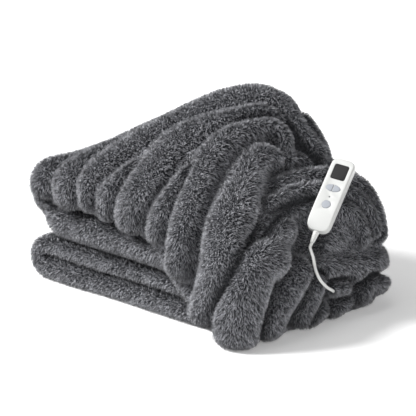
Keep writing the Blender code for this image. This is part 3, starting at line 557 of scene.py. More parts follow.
def merged_copy(node):
    """A CAD node's triangles as one joined mesh."""
    mesh = bmesh.new()
    mesh.from_mesh(NODES[node].data)
    bmesh.ops.remove_doubles(mesh, verts=mesh.verts, dist=MERGE_WITHIN)
    return mesh


def settle(piece, body, slot, *replaced):
    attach(piece, body)
    if replaced:
        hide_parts(*replaced)
    return piece


def middle_of(node):
    low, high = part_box(node)
    return (low + high) / 2


def controller_axes():
    """The controller's foot and its axes (across, along, facing), read from its keys and joints."""
    facing = -Vector(FRAME["joints"][0]["axis"]).normalized()
    power = middle_of("key_power")
    along = middle_of("controller_window") - power
    along = (along - facing * along.dot(facing)).normalized()
    foot = power - along * POWER_KEY_UP
    foot -= facing * ((foot - middle_of("controller_housing")).dot(facing) + CONTROLLER_THICKNESS / 2)
    return foot, along.cross(facing).normalized(), along, facing


# ---------------------------------------------------------------- the cloth's form


def table(columns, rows):
    """Each column of a table as an array, by its name."""
    return dict(zip(columns, np.array(rows, float).T))


def smooth_step(t):
    t = np.clip(t, 0.0, 1.0)
    return t * t * (3.0 - 2.0 * t)


def catmull_rom(points, count, closed=False, fine=24):
    """A smooth curve through the points, sampled evenly along its length."""
    points = np.asarray(points, float)
    if closed:
        points = np.concatenate([points[-1:], points, points[:2]])
    else:
        first = 2 * points[:1] - points[1:2]
        last = 2 * points[-1:] - points[-2:-1]
        points = np.concatenate([first, points, last])
    p0, p1, p2, p3 = points[:-3], points[1:-2], points[2:-1], points[3:]
    t = np.linspace(0, 1, fine, endpoint=False)[None, :, None]
    p0, p1, p2, p3 = (p[:, None, :] for p in (p0, p1, p2, p3))
    cubic = 2 * p1 + (p2 - p0) * t + (2 * p0 - 5 * p1 + 4 * p2 - p3) * t**2
    curve = 0.5 * (cubic + (3 * p1 - p0 - 3 * p2 + p3) * t**3)
    curve = curve.reshape(-1, points.shape[1])
    curve = np.concatenate([curve, points[-2:-1]])
    along = np.concatenate([[0], np.cumsum(np.linalg.norm(np.diff(curve, axis=0), axis=1))])
    at = np.linspace(0, along[-1], count)
    return np.stack([np.interp(at, along, column) for column in curve.T], axis=1)


def uneven(along, size, phase=0.0):
    """A slow, repeatable wander, for edges that no hand lays quite straight."""
    return size * sum(share * math.sin(rate * along + turn * phase) for share, rate, turn in WANDERS)


def lap_stations():
    """Sections along the laps, each a dict of its place, its normal and its sizes."""
    laps = [dict(zip(LAP_COLUMNS, row)) for row in LAPS]
    sizes = ("band", "y_front", "y_back")
    stations = []
    for index, lap in enumerate(laps):
        heading = -1 if index % 2 == 0 else 1
        start, end = (lap["x_right"], lap["x_left"]) if heading < 0 else (lap["x_left"], lap["x_right"])
        last = index == len(laps) - 1
        for t in np.linspace(0, 1, LAP_STEPS):
            rise = COVER_JOIN_RISE * smooth_step(t) if last else 0.0
            place = {"x": start + (end - start) * t, "z": lap["z"] + rise, "normal": (0.0, -heading)}
            stations.append({**place, **{name: lap[name] for name in sizes}})
        if last:
            break
        above = laps[index + 1]
        radius = (above["z"] - lap["z"]) / 2
        for t in np.arange(1, TURN_STEPS) / TURN_STEPS:
            out, up = heading * math.sin(math.pi * t), -math.cos(math.pi * t)
            place = {
                "x": end + radius * out,
                "z": lap["z"] + radius * (1 + up),
                "normal": (heading * out, heading * up),
            }
            mixed = {name: lap[name] + (above[name] - lap[name]) * t for name in sizes}
            mixed["band"] = min(mixed["band"], 2 * radius - TURN_GAP)
            stations.append({**place, **mixed})
    return stations


def doubled_section(band, y_front, y_back):
    """The doubled cloth across a lap, as two chains of points from the upper hem round to the lower one.

    The first chain is its outside and the second its inside. A point at each hem's tip follows.
    """
    half = band / 2
    ply = min(PLY, band * PLY_SHARE)
    slot = half - ply
    bend_y = y_front + half
    ends = {1: y_back, -1: y_back - HEM_STAGGER}
    arc = [math.pi / 2 + math.pi * k / NOSE_STEPS for k in range(NOSE_STEPS + 1)]

    def chain(h):
        out = [(ends[1] + (bend_y - ends[1]) * k / RUN_STEPS, h) for k in range(RUN_STEPS)]
        bend = [(bend_y + h * math.cos(a), h * math.sin(a)) for a in arc]
        back = [(bend_y + (ends[-1] - bend_y) * k / RUN_STEPS, -h) for k in range(1, RUN_STEPS + 1)]
        return out + bend + back

    tips = [(ends[side] + ply * HEM_ROUND, side * (half - ply / 2)) for side in (-1, 1)]
    return chain(half), chain(slot), tips


def hump_rise(x, y):
    """How far the heap stands over the shoulder's height at a place in plan."""
    columns = table(HUMP_COLUMNS, HUMP)
    along = catmull_rom(np.stack([columns["x"], columns["rise"]], axis=1), HUMP_SAMPLES)
    rise = np.interp(x, along[:, 0], along[:, 1])
    reach = np.where(y < HUMP_Y, HUMP_FRONT, HUMP_BACK)
    share = np.clip(np.abs(y - HUMP_Y) / reach, 0, 1)
    return rise * (1 - share**HUMP_SLOPE)


def rim_points(places):
    """The rim's columns at each place, a number from 0 to 4 walked round the four corners."""
    curve = catmull_rom(np.array(list(RIM.values())), RIM_SAMPLES + 1, closed=True)
    corners = np.array([RIM[name] for name in RIM_CORNERS])
    at = [int(np.argmin(np.linalg.norm(curve[:-1, :2] - row[:2], axis=1))) for row in corners]
    at = [index if k == 0 or index > at[0] else index + RIM_SAMPLES for k, index in enumerate(at)]
    samples = np.interp(places, range(5), at + [at[0] + RIM_SAMPLES])
    wrapped = np.concatenate([curve[:-1], curve[:-1], curve[:1]])
    return np.stack([np.interp(samples, range(len(wrapped)), column) for column in wrapped.T], axis=1)


def cover_base():
    """The cover's smooth form before its ridges: points and outward normals on a grid."""
    across, deep = COVER_GRID
    a, b = np.meshgrid(np.linspace(-1, 1, across + 1), np.linspace(-1, 1, deep + 1), indexing="ij")
    reach = np.maximum(np.maximum(np.abs(a), np.abs(b)), TINY)
    qa, qb = a / reach, b / reach
    front, right, back = qb <= -1 + TINY, qa >= 1 - TINY, qb >= 1 - TINY
    place = np.select(
        [front, right, back],
        [(qa + 1) / 2, 1 + (qb + 1) / 2, 2 + (1 - qa) / 2],
        3 + (1 - qb) / 2,
    )
    rim = table(RIM_COLUMNS, rim_points(place.ravel()))
    rim = {name: column.reshape(place.shape) for name, column in rim.items()}
    centre = np.array(COVER_CENTRE)
    spread = np.stack([rim["x"], rim["y"]], axis=-1) - centre
    inward = -spread / np.linalg.norm(spread, axis=-1, keepdims=True)
    turn = np.minimum(reach / COVER_SIDE_SHARE, 1.0) * math.pi / 2
    power = COVER_SQUARENESS
    radius = (np.abs(np.cos(turn)) ** power + np.sin(turn) ** power) ** (-1 / power)
    out, up = radius * np.sin(turn), radius * np.cos(turn)
    under = np.clip((reach - COVER_SIDE_SHARE) / (1 - COVER_SIDE_SHARE), 0, 1) * math.pi / 2
    turned_under = rim["turned_under"]
    widest_z = rim["z_edge"] + turned_under
    plan = centre + spread * out[..., None]
    plan = plan + inward * (turned_under * (1 - np.cos(under)))[..., None]
    z = widest_z + (COVER_TOP - widest_z) * up - turned_under * np.sin(under)
    z = z + hump_rise(plan[..., 0], plan[..., 1]) * smooth_step(up * HUMP_SPREAD)
    points = np.concatenate([plan, z[..., None]], axis=-1)
    points = smoothed(pressed_down(points, BED_DEPTH, BED_SLOPE), BED_SMOOTHINGS)
    normals = np.cross(np.gradient(points, axis=0), np.gradient(points, axis=1))
    normals /= np.linalg.norm(normals, axis=-1, keepdims=True)
    return points, normals


def ridge_relief(points):
    """How far the ridges lift each point of the cover, and how deep in a crease between two it lies."""
    grid = points.reshape(-1, 3)
    shape = points.shape[:2]
    tree = BVHTree.FromPolygons(grid.tolist(), grid_faces(shape).tolist())
    highest, second = np.zeros(len(grid)), np.zeros(len(grid))
    for height, rows in RIDGES.values():
        crest = table(RIDGE_COLUMNS, catmull_rom(np.array(rows), RIDGE_SAMPLES * len(rows)))
        lift = np.zeros(len(grid))
        for x, y, z, half_width in zip(*crest.values()):
            nearest = np.array(tree.find_nearest(Vector((x, y, z)))[0])
            share = np.minimum(np.linalg.norm(grid - nearest, axis=1) / half_width, 1)
            lift = np.maximum(lift, height * (1 - share**2) ** RIDGE_FULLNESS)
        second = np.maximum(second, np.minimum(highest, lift))
        highest = np.maximum(highest, lift)
    crease = smooth_step(1 - (highest - second) / CREASE_BAND) * smooth_step(second / CREASE_START)
    return (highest - CREASE_DEPTH * crease).reshape(shape), (crease**CREASE_NARROWNESS).reshape(shape)


def grid_faces(shape, start=0, flip=False):
    rows, columns = shape
    index = start + np.arange(rows * columns).reshape(rows, columns)
    corners = [index[:-1, :-1], index[1:, :-1], index[1:, 1:], index[:-1, 1:]]
    faces = np.stack(corners, axis=-1).reshape(-1, 4)
    return faces[:, ::-1] if flip else faces


def rim_loop(shape, start=0):
    """The grid's outer points, in order round it."""
    rows, columns = shape
    index = start + np.arange(rows * columns).reshape(rows, columns)
    return np.concatenate([index[:-1, 0], index[-1, :-1], index[:0:-1, -1], index[0, :0:-1]])


def heap_shift():
    """From the heap's own axes to the frame's."""
    return np.array(controller_axes()[0]) - CONTROLLER_FOOT


def pressed_down(points, clear, slope=DENT_SLOPE):
    """The points moved out of the way of the controller that lies on them, straight back from its face."""
    _, across, along, facing = (np.array(axis) for axis in controller_axes())
    x, y, z = ((points - CONTROLLER_FOOT) @ axis for axis in (across, along, facing))
    beyond = SLEEVE_REACH + CORD_STRAIGHT
    beside_x = np.maximum(np.abs(x) - CONTROLLER_WIDTH / 2 - DENT_BESIDE, 0)
    beside_y = np.maximum(np.maximum(y - CONTROLLER_LENGTH - DENT_BESIDE, -y - beyond), 0)
    highest = slope * np.hypot(beside_x, beside_y) - clear
    over = np.where(z < DENT_REACH, np.maximum(z - highest, 0), 0)
    return points - over[..., None] * facing


def cord_route():
    """The cord's middle line, in the heap's own axes."""
    _, _, along, facing = (np.array(axis) for axis in controller_axes())
    start = CONTROLLER_FOOT + facing * FOOT_MIDDLE - along * SLEEVE_REACH
    leaving = [start - along * back for back in (CORD_GAP, CORD_STRAIGHT)]
    return catmull_rom(leaving + list(CORD_ROUTE), CORD_POINTS)


def clear_of_cord(points, inwards, clear):
    """The points pushed inwards where the cord lies by them."""
    points = points.copy()
    needed = CORD_RADIUS + clear
    route = cord_route()
    for place in route[: int(len(route) * FREE_CORD)]:
        away = np.linalg.norm(points - place, axis=-1)
        points += inwards * np.clip(needed - away, 0, needed)[..., None]
    return points


def smoothed(points, passes):
    """The grid of points with each inner one moved halfway to the middle of its neighbours, a few times."""
    points = points.copy()
    for _ in range(passes):
        middle = (points[:-2, 1:-1] + points[2:, 1:-1] + points[1:-1, :-2] + points[1:-1, 2:]) / 4
        points[1:-1, 1:-1] += (middle - points[1:-1, 1:-1]) / 2
    return points


def cover_shell():
    """The gathered cover's points, faces and creases: its ridged outside, a coarser inside and a hem."""
    base, normals = cover_base()
    relief, crease = ridge_relief(base)
    relief = relief * smooth_step(1 + UNDERSIDE_CALM * np.minimum(normals[..., 2], 0))
    outside = smoothed(base + normals * relief[..., None], SMOOTHINGS)
    inside = base + normals * (relief * RIDGE_HOLLOW - COVER_WALL)[..., None]
    inside = inside[::INSIDE_STEP, ::INSIDE_STEP]
    outside[..., 2] = np.maximum(outside[..., 2], OFF_FLOOR)
    inside[..., 2] = np.maximum(inside[..., 2], 2 * OFF_FLOOR)
    shape, inner_shape = outside.shape[:2], inside.shape[:2]
    count = shape[0] * shape[1]
    faces = grid_faces(shape).tolist() + grid_faces(inner_shape, count, flip=True).tolist()
    outer_rim, inner_rim = rim_loop(shape), rim_loop(inner_shape, count)
    for k, place in enumerate(outer_rim):
        following = outer_rim[(k + 1) % len(outer_rim)]
        steps = [(k + ahead + INSIDE_STEP // 2) // INSIDE_STEP for ahead in (0, 1)]
        near = [inner_rim[step % len(inner_rim)] for step in steps]
        faces.append([place, following, near[0]])
        if near[0] != near[1]:
            faces.append([following, near[1], near[0]])
    creases = np.concatenate([crease.ravel(), np.zeros(inside.size // 3)])
    return np.concatenate([outside.reshape(-1, 3), inside.reshape(-1, 3)]), faces, creases


def laps_shell():
    """The folded laps' points and faces: the doubled cloth swept from the floor up to the cover."""
    rows, walked, before = [], 0.0, None
    for station in lap_stations():
        place = np.array((station["x"], station["z"]))
        walked += 0.0 if before is None else float(np.linalg.norm(place - before))
        before = place
        outside, inside, tips = doubled_section(
            station["band"],
            station["y_front"] + uneven(walked, FRONT_WANDER),
            station["y_back"] + uneven(walked, BACK_WANDER, BACK_PHASE),
        )
        nx, nz = station["normal"]
        section = outside + tips[:1] + inside[::-1] + tips[1:]
        rows.append([(place[0] + nx * h, y, place[1] + nz * h) for y, h in section])
    points = np.array(rows)
    count = points.shape[1]
    faces = grid_faces((len(rows), count)).tolist()
    starts = [row * count for row in range(len(rows))]
    faces += [[a + count - 1, b + count - 1, b, a] for a, b in zip(starts, starts[1:])]
    half = count // 2
    for start in (0, (len(rows) - 1) * count):
        ring = list(range(start, start + count))
        outside, inside = ring[: half - 1], ring[-2 : half - 1 : -1]
        faces += [[outside[k], outside[k + 1], inside[k + 1], inside[k]] for k in range(half - 2)]
        faces += [[outside[-1], ring[half - 1], inside[-1]], [inside[0], ring[-1], outside[0]]]
    return points.reshape(-1, 3), faces


# ---------------------------------------------------------------- stage


class HEATED_OT_stage(bpy.types.Operator):
    """Set the camera at the photograph's angle, the pale floor and the soft studio lights"""

    bl_idname = "heated_blanket.stage"
    bl_label = "Camera, floor and lights"

    LIGHTS = (
        # name, azimuth, elevation, its width in degrees, strength
        ("key", -42, 40, 20, 5.1),
        ("fill", 95, 25, 40, 0.55),
        ("top", -40, 75, 50, 0.6),
    )
    AIM_HEIGHT = 0.169
    AIM_LEFT = 0.0086
    FLOOR_REACH = 12
    FLOOR_GLOW = 0.27
    ROOM_LIGHT = 0.15

    def execute(self, context):
        look = settings("stage")
        right = Vector((math.cos(look.azimuth), math.sin(look.azimuth), 0))
        aim = Vector((0, 0, self.AIM_HEIGHT)) + Vector(heap_shift()) - right * self.AIM_LEFT
        back = direction(look.azimuth, look.elevation)
        camera = aimed("camera", bpy.data.cameras.new("camera"), aim + back * look.distance, back)
        camera.data.sensor_width = 36
        camera.data.lens = look.lens
        camera.data.clip_end = 100
        context.scene.camera = camera

        for name, azimuth, elevation, width, strength in self.LIGHTS:
            way = direction(math.radians(azimuth), math.radians(elevation))
            light = aimed(name, bpy.data.lights.new(name, "SUN"), way, way)
            light.data.angle = math.radians(width)
            light.data.energy = strength

        world = bpy.data.worlds.new("studio")
        world.use_nodes = True
        room = world.node_tree.nodes["Background"].inputs
        room["Color"].default_value = (1, 1, 1, 1)
        room["Strength"].default_value = self.ROOM_LIGHT
        context.scene.world = world
        context.scene.view_settings.view_transform = "Standard"

        mesh = bmesh.new()
        bmesh.ops.create_grid(mesh, x_segments=1, y_segments=1, size=self.FLOOR_REACH)
        floor = mesh_from_bmesh("floor", mesh)
        paint, _, _ = new_material(
            "pale_floor",
            Base_Color=linear("#fafafa"),
            Roughness=0.8,
            Emission_Color=(1, 1, 1, 1),
            Emission_Strength=self.FLOOR_GLOW,
        )
        floor.data.materials.append(paint)
        return {"FINISHED"}


# ---------------------------------------------------------------- cloth


def neighbour_mean(points, ends, count):
    """The mean of each point's neighbours over the mesh's edges."""
    total = np.zeros_like(points)
    for a, b in ((0, 1), (1, 0)):
        np.add.at(total, ends[:, a], points[ends[:, b]])
    return total / np.maximum(count, 1)[:, None]


def exposure_of(points, normals, tree):
    """How much of the room above the floor each point sees, from 0 to 1."""
    k = np.arange(SEEN_RAYS) + 0.5
    up = 1 - 2 * k / SEEN_RAYS
    turn = k * math.pi * (1 + 5**0.5)
    side = np.sqrt(1 - up**2)
    ways = np.stack([side * np.cos(turn), side * np.sin(turn), up], axis=1)
    seen = np.zeros(len(points))
    for index, (point, normal) in enumerate(zip(points, normals)):
        start = Vector(point + normal * SEEN_LIFT)
        if start.z < SEEN_LOWEST:
            continue
        for way in ways:
            counted = way @ normal > SEEN_GRAZING and way[2] > SEEN_DOWN
            if counted and tree.ray_cast(start, Vector(way), SEEN_REACH)[0] is None:
                seen[index] += 1
    return seen / (SEEN_OPEN * SEEN_RAYS)


def lumps(point):
    """Soft unevenness of stuffed, folded plush at two sizes, about -1 to 1."""
    return sum(share * noise.noise(Vector(point) / size) for share, size in LUMP_SIZES)


class HEATED_OT_cloth(bpy.types.Operator):
    """Make the cloth's ground from its folds' own measures, uneven and a pile's depth inside them"""

    bl_idname = "heated_blanket.cloth"
    bl_label = "Folded cloth"

    LEAST_SEEN = 0.02
    FULL_SEEN = 0.20
    SEEN_BLURS = 3
    CREASE_BARE = 0.75  # how much less pile stands in a crease

    def execute(self, context):
        cloth = settings("cloth")
        cover, cover_faces, creases = cover_shell()
        laps, lap_faces = laps_shell()
        data = bpy.data.meshes.new("blanket_cloth")
        faces = cover_faces + [[k + len(cover) for k in face] for face in lap_faces]
        faces = [[int(k) for k in face] for face in faces]
        data.from_pydata(np.concatenate([cover, laps]).tolist(), [], faces)
        mesh = bmesh.new()
        mesh.from_mesh(data)
        bmesh.ops.recalc_face_normals(mesh, faces=mesh.faces)
        mesh.to_mesh(data)
        tree = BVHTree.FromBMesh(mesh)
        mesh.free()
        skin = add_object("blanket_cloth", data)
        points = read_each(data.vertices, "co", 3)
        normals = read_each(data.vertices, "normal", 3)
        ends = read_each(data.edges, "vertices", 2, int)
        count = np.bincount(ends.ravel(), minlength=len(points))

        seen = exposure_of(points, normals, tree)
        for _ in range(self.SEEN_BLURS):
            seen = (seen + neighbour_mean(seen[:, None], ends, count)[:, 0]) / 2
        crease = np.concatenate([creases, np.zeros(len(laps))])
        share = np.clip((seen - self.LEAST_SEEN) / (self.FULL_SEEN - self.LEAST_SEEN), 0, 1)

        height = np.array([lumps(point) for point in points]) * cloth.lump
        moved = points + normals * ((height - cloth.shrink) * share)[:, None]
        moved = clear_of_cord(pressed_down(moved, UNDER_CONTROLLER), -normals, BESIDE_CORD) + heap_shift()
        moved[:, 2] = np.maximum(moved[:, 2], LEAST_HEIGHT)
        data.vertices.foreach_set("co", moved.ravel())
        pile = share * (1 - self.CREASE_BARE * crease)
        # seen and crease also darken the pile's colour in its material, as painted shade.
        for name, values in (("pile_share", pile), ("seen", np.clip(seen, 0, 1)), ("crease", crease)):
            data.attributes.new(name, "FLOAT", "POINT").data.foreach_set("value", values.astype(np.float32))
        data.shade_smooth()
        data.materials.append(ground_material())
        data.update()
        settle(skin, CLOTH_BODY, "plush", "blanket")
        return {"FINISHED"}


def ground_material():
    """Knitted polyester ground under the pile: matt and mottled, and painted dark as shade, since it only
    shows in the shade between tufts.
    """
    material, tree, shader = new_material("knitted_ground", Roughness=1.0, Specular_IOR_Level=0.1)
    place = add_node(tree, "ShaderNodeTexCoord")
    mottle = add_node(
        tree, "ShaderNodeTexNoise", {"Vector": place.outputs["Object"], "Scale": 220.0, "Detail": 3.0}
    )
    # The mottle's dark greys are painted shade between the tufts.
    ramp = add_node(tree, "ShaderNodeValToRGB", {"Fac": mottle.outputs["Fac"]})
    ramp.color_ramp.elements[0].position = 0.35
    ramp.color_ramp.elements[0].color = linear("#303134")
    ramp.color_ramp.elements[1].position = 0.70
    ramp.color_ramp.elements[1].color = linear("#55565a")
    tree.links.new(ramp.outputs["Color"], shader.inputs["Base Color"])
    bump = add_node(
        tree, "ShaderNodeBump", {"Height": mottle.outputs["Fac"], "Strength": 0.6, "Distance": 0.002}
    )
    tree.links.new(bump.outputs["Normal"], shader.inputs["Normal"])
    return material


# ---------------------------------------------------------------- pile


def pile_material():
    """Polyester faux fur: tufts of differing greys; dark roots and paler tips, partly the fur's own two
    tones, the roots deepened as painted shade between the tufts and the tips brightened as a painted
    highlight; and painted shade where the cloth sees little of the room and along its creases.
    """
    material, tree, shader = new_material(
        "faux_fur_pile", Roughness=0.75, Specular_IOR_Level=0.25, Sheen_Weight=0.25, Sheen_Roughness=0.6
    )
    # Dark roots and pale tips along each tuft: partly the fur's own two tones, the roots deepened as
    # painted shade between the tufts and the tips brightened as a painted highlight.
    along = add_node(tree, "ShaderNodeAttribute", attribute_name="along")
    ramp = add_node(tree, "ShaderNodeValToRGB", {"Fac": along.outputs["Fac"]})
    ramp.color_ramp.elements[0].position = 0.0
    ramp.color_ramp.elements[0].color = linear("#26272a")
    ramp.color_ramp.elements[1].position = 1.0
    ramp.color_ramp.elements[1].color = linear("#d6d7dd")
    middle = ramp.color_ramp.elements.new(0.55)
    middle.color = linear("#838489")
    tint = add_node(tree, "ShaderNodeAttribute", attribute_name="tint")
    shade = add_node(
        tree,
        "ShaderNodeMapRange",
        {"Value": tint.outputs["Fac"], "To Min": 0.30, "To Max": 1.70},
    )
    # Painted shade: the pile is darker where its place on the cloth sees less of the room.
    seen = add_node(tree, "ShaderNodeAttribute", attribute_name="seen")
    depth = add_node(
        tree,
        "ShaderNodeMapRange",
        {"Value": seen.outputs["Fac"], "From Min": 0.05, "From Max": 0.5, "To Min": 0.14, "To Max": 1.12},
    )
    # Painted shade: the pile is darker along the creases between ridges.
    crease = add_node(tree, "ShaderNodeAttribute", attribute_name="crease")
    fold = add_node(
        tree, "ShaderNodeMapRange", {"Value": crease.outputs["Fac"], "To Min": 1.0, "To Max": 0.06}
    )
    depth = add_node(
        tree,
        "ShaderNodeMath",
        {0: depth.outputs["Result"], 1: fold.outputs["Result"]},
        operation="MULTIPLY",
    )
    shade = add_node(
        tree,
        "ShaderNodeMath",
        {0: shade.outputs["Result"], 1: depth.outputs["Value"]},
        operation="MULTIPLY",
    )
    toned = add_node(
        tree,
        "ShaderNodeVectorMath",
        {0: ramp.outputs["Color"], 1: shade.outputs["Value"]},
        operation="MULTIPLY",
    )
    tree.links.new(toned.outputs["Vector"], shader.inputs["Base Color"])
    lie = add_node(tree, "ShaderNodeAttribute", attribute_name="cloth_normal")
    own = add_node(tree, "ShaderNodeNewGeometry")
    lie = add_node(
        tree, "ShaderNodeVectorMath", {0: lie.outputs["Vector"], "Scale": 2.6}, operation="SCALE"
    )
    normal = add_node(
        tree, "ShaderNodeVectorMath", {0: lie.outputs["Vector"], 1: own.outputs["Normal"]}, operation="ADD"
    )
    normal = add_node(tree, "ShaderNodeVectorMath", {0: normal.outputs["Vector"]}, operation="NORMALIZE")
    tree.links.new(normal.outputs["Vector"], shader.inputs["Normal"])
    return material


def tuft_template(length, width):
    """One tuft: a narrow bent blade with its root at the origin, and how far along it each point is."""
    mesh = bmesh.new()
    pairs, along = [], []
    for up, bend, wide in TUFT_ROWS:
        places = [(side * wide * width / 2, bend * length, up * length) for side in (-1, 1)]
        pairs.append([mesh.verts.new(place) for place in places])
        along += [up, up]
    up, bend = TUFT_TIP
    tip = mesh.verts.new((0.0, bend * length, up * length))
    mesh.faces.new((pairs[0][0], pairs[0][1], pairs[1][1], pairs[1][0]))
    mesh.faces.new((pairs[1][0], pairs[1][1], tip))
    tuft = mesh_from_bmesh("tuft_template", mesh)
    tuft.data.attributes.new("along", "FLOAT", "POINT").data.foreach_set("value", along + [1.0])
    return tuft


def pile_tree(tuft, material):
    """Geometry Nodes that strew tufts over a skin by its pile_share, leaning along its comb."""
    tree = bpy.data.node_groups.new("strewn_tufts", "GeometryNodeTree")
    face = tree.interface
    face.new_socket("Skin", in_out="INPUT", socket_type="NodeSocketGeometry")
    for name, value in (("Density", 50000.0), ("Clump Scale", 110.0), ("Lean", 0.65), ("Stray", 0.3)):
        face.new_socket(name, in_out="INPUT", socket_type="NodeSocketFloat").default_value = value
    face.new_socket("Seed", in_out="INPUT", socket_type="NodeSocketInt")
    face.new_socket("Pile", in_out="OUTPUT", socket_type="NodeSocketGeometry")
    given = add_node(tree, "NodeGroupInput").outputs
    share = add_node(tree, "GeometryNodeInputNamedAttribute", {"Name": "pile_share"}, data_type="FLOAT")
    comb = add_node(tree, "GeometryNodeInputNamedAttribute", {"Name": "comb"}, data_type="FLOAT_VECTOR")
    density = add_node(
        tree, "ShaderNodeMath", {0: given["Density"], 1: share.outputs["Attribute"]}, operation="MULTIPLY"
    )
    strewn = add_node(
        tree,
        "GeometryNodeDistributePointsOnFaces",
        {"Mesh": given["Skin"], "Density": density.outputs[0], "Seed": given["Seed"]},
    )
    clumps = add_node(
        tree, "ShaderNodeTexNoise", {"Scale": given["Clump Scale"], "Detail": 1.0}, noise_dimensions="3D"
    )
    centred = add_node(
        tree, "ShaderNodeVectorMath", {0: clumps.outputs["Color"], 1: (0.5, 0.5, 0.5)}, operation="SUBTRACT"
    )
    swayed = add_node(
        tree, "ShaderNodeVectorMath", {0: centred.outputs[0], "Scale": given["Lean"]}, operation="SCALE"
    )
    stray = add_node(
        tree,
        "FunctionNodeRandomValue",
        {0: (-1.0, -1.0, -1.0), 1: (1.0, 1.0, 1.0), "Seed": given["Seed"]},
        data_type="FLOAT_VECTOR",
    )
    strayed = add_node(
        tree, "ShaderNodeVectorMath", {0: stray.outputs[0], "Scale": given["Stray"]}, operation="SCALE"
    )
    way = add_node(
        tree, "ShaderNodeVectorMath", {0: swayed.outputs[0], 1: strayed.outputs[0]}, operation="ADD"
    )
    way = add_node(tree, "ShaderNodeVectorMath", {0: way.outputs[0], 1: comb.outputs[0]}, operation="ADD")
    standing = add_node(tree, "FunctionNodeAlignRotationToVector", {"Vector": way.outputs[0]}, axis="Z")
    spin = add_node(
        tree, "FunctionNodeRandomValue", {2: 0.0, 3: 2 * math.pi, "Seed": given["Seed"]}, data_type="FLOAT"
    )
    spun = add_node(
        tree, "FunctionNodeAxisAngleToRotation", {"Axis": (0.0, 0.0, 1.0), "Angle": spin.outputs[1]}
    )
    turned = add_node(
        tree,
        "FunctionNodeRotateRotation",
        {"Rotation": standing.outputs[0], "Rotate By": spun.outputs[0]},
        rotation_space="LOCAL",
    )
    size = add_node(
        tree, "FunctionNodeRandomValue", {2: 0.55, 3: 1.05, "Seed": given["Seed"]}, data_type="FLOAT"
    )
    fuller = add_node(
        tree,
        "ShaderNodeMapRange",
        {"Value": share.outputs["Attribute"], "To Min": 0.55, "To Max": 1.0},
    )
    size = add_node(
        tree, "ShaderNodeMath", {0: size.outputs[1], 1: fuller.outputs["Result"]}, operation="MULTIPLY"
    )
    tuft_shape = add_node(tree, "GeometryNodeObjectInfo", {"Object": tuft})
    tufts = add_node(
        tree,
        "GeometryNodeInstanceOnPoints",
        {
            "Points": strewn.outputs["Points"],
            "Instance": tuft_shape.outputs["Geometry"],
            "Rotation": turned.outputs[0],
            "Scale": size.outputs[0],
        },
    )
    mixed = add_node(
        tree, "ShaderNodeTexNoise", {"Scale": 60.0, "Detail": 2.0, "Roughness": 0.7}, noise_dimensions="3D"
    )
    own = add_node(tree, "FunctionNodeRandomValue", {2: 0.0, 3: 0.45, "Seed": 7}, data_type="FLOAT")
    tint = add_node(tree, "ShaderNodeMath", {0: mixed.outputs["Fac"], 1: own.outputs[1]}, operation="ADD")
    tint = add_node(tree, "ShaderNodeMath", {0: tint.outputs[0], 1: 0.22}, operation="SUBTRACT")
    tinted = add_node(
        tree,
        "GeometryNodeStoreNamedAttribute",
        {"Geometry": tufts.outputs["Instances"], "Name": "tint", "Value": tint.outputs[0]},
        data_type="FLOAT",
        domain="INSTANCE",
    )
    real = add_node(tree, "GeometryNodeRealizeInstances", {"Geometry": tinted.outputs["Geometry"]})
    dressed = add_node(
        tree, "GeometryNodeSetMaterial", {"Geometry": real.outputs["Geometry"], "Material": material}
    )
    done = add_node(tree, "NodeGroupOutput")
    tree.links.new(dressed.outputs["Geometry"], done.inputs["Pile"])
    return tree


def set_input(modifier, name, value):
    """Set a Geometry Nodes modifier's input by its socket's identifier."""
    sockets = modifier.node_group.interface.items_tree
    found = next(s for s in sockets if s.in_out == "INPUT" and s.name == name)
    modifier[found.identifier] = value


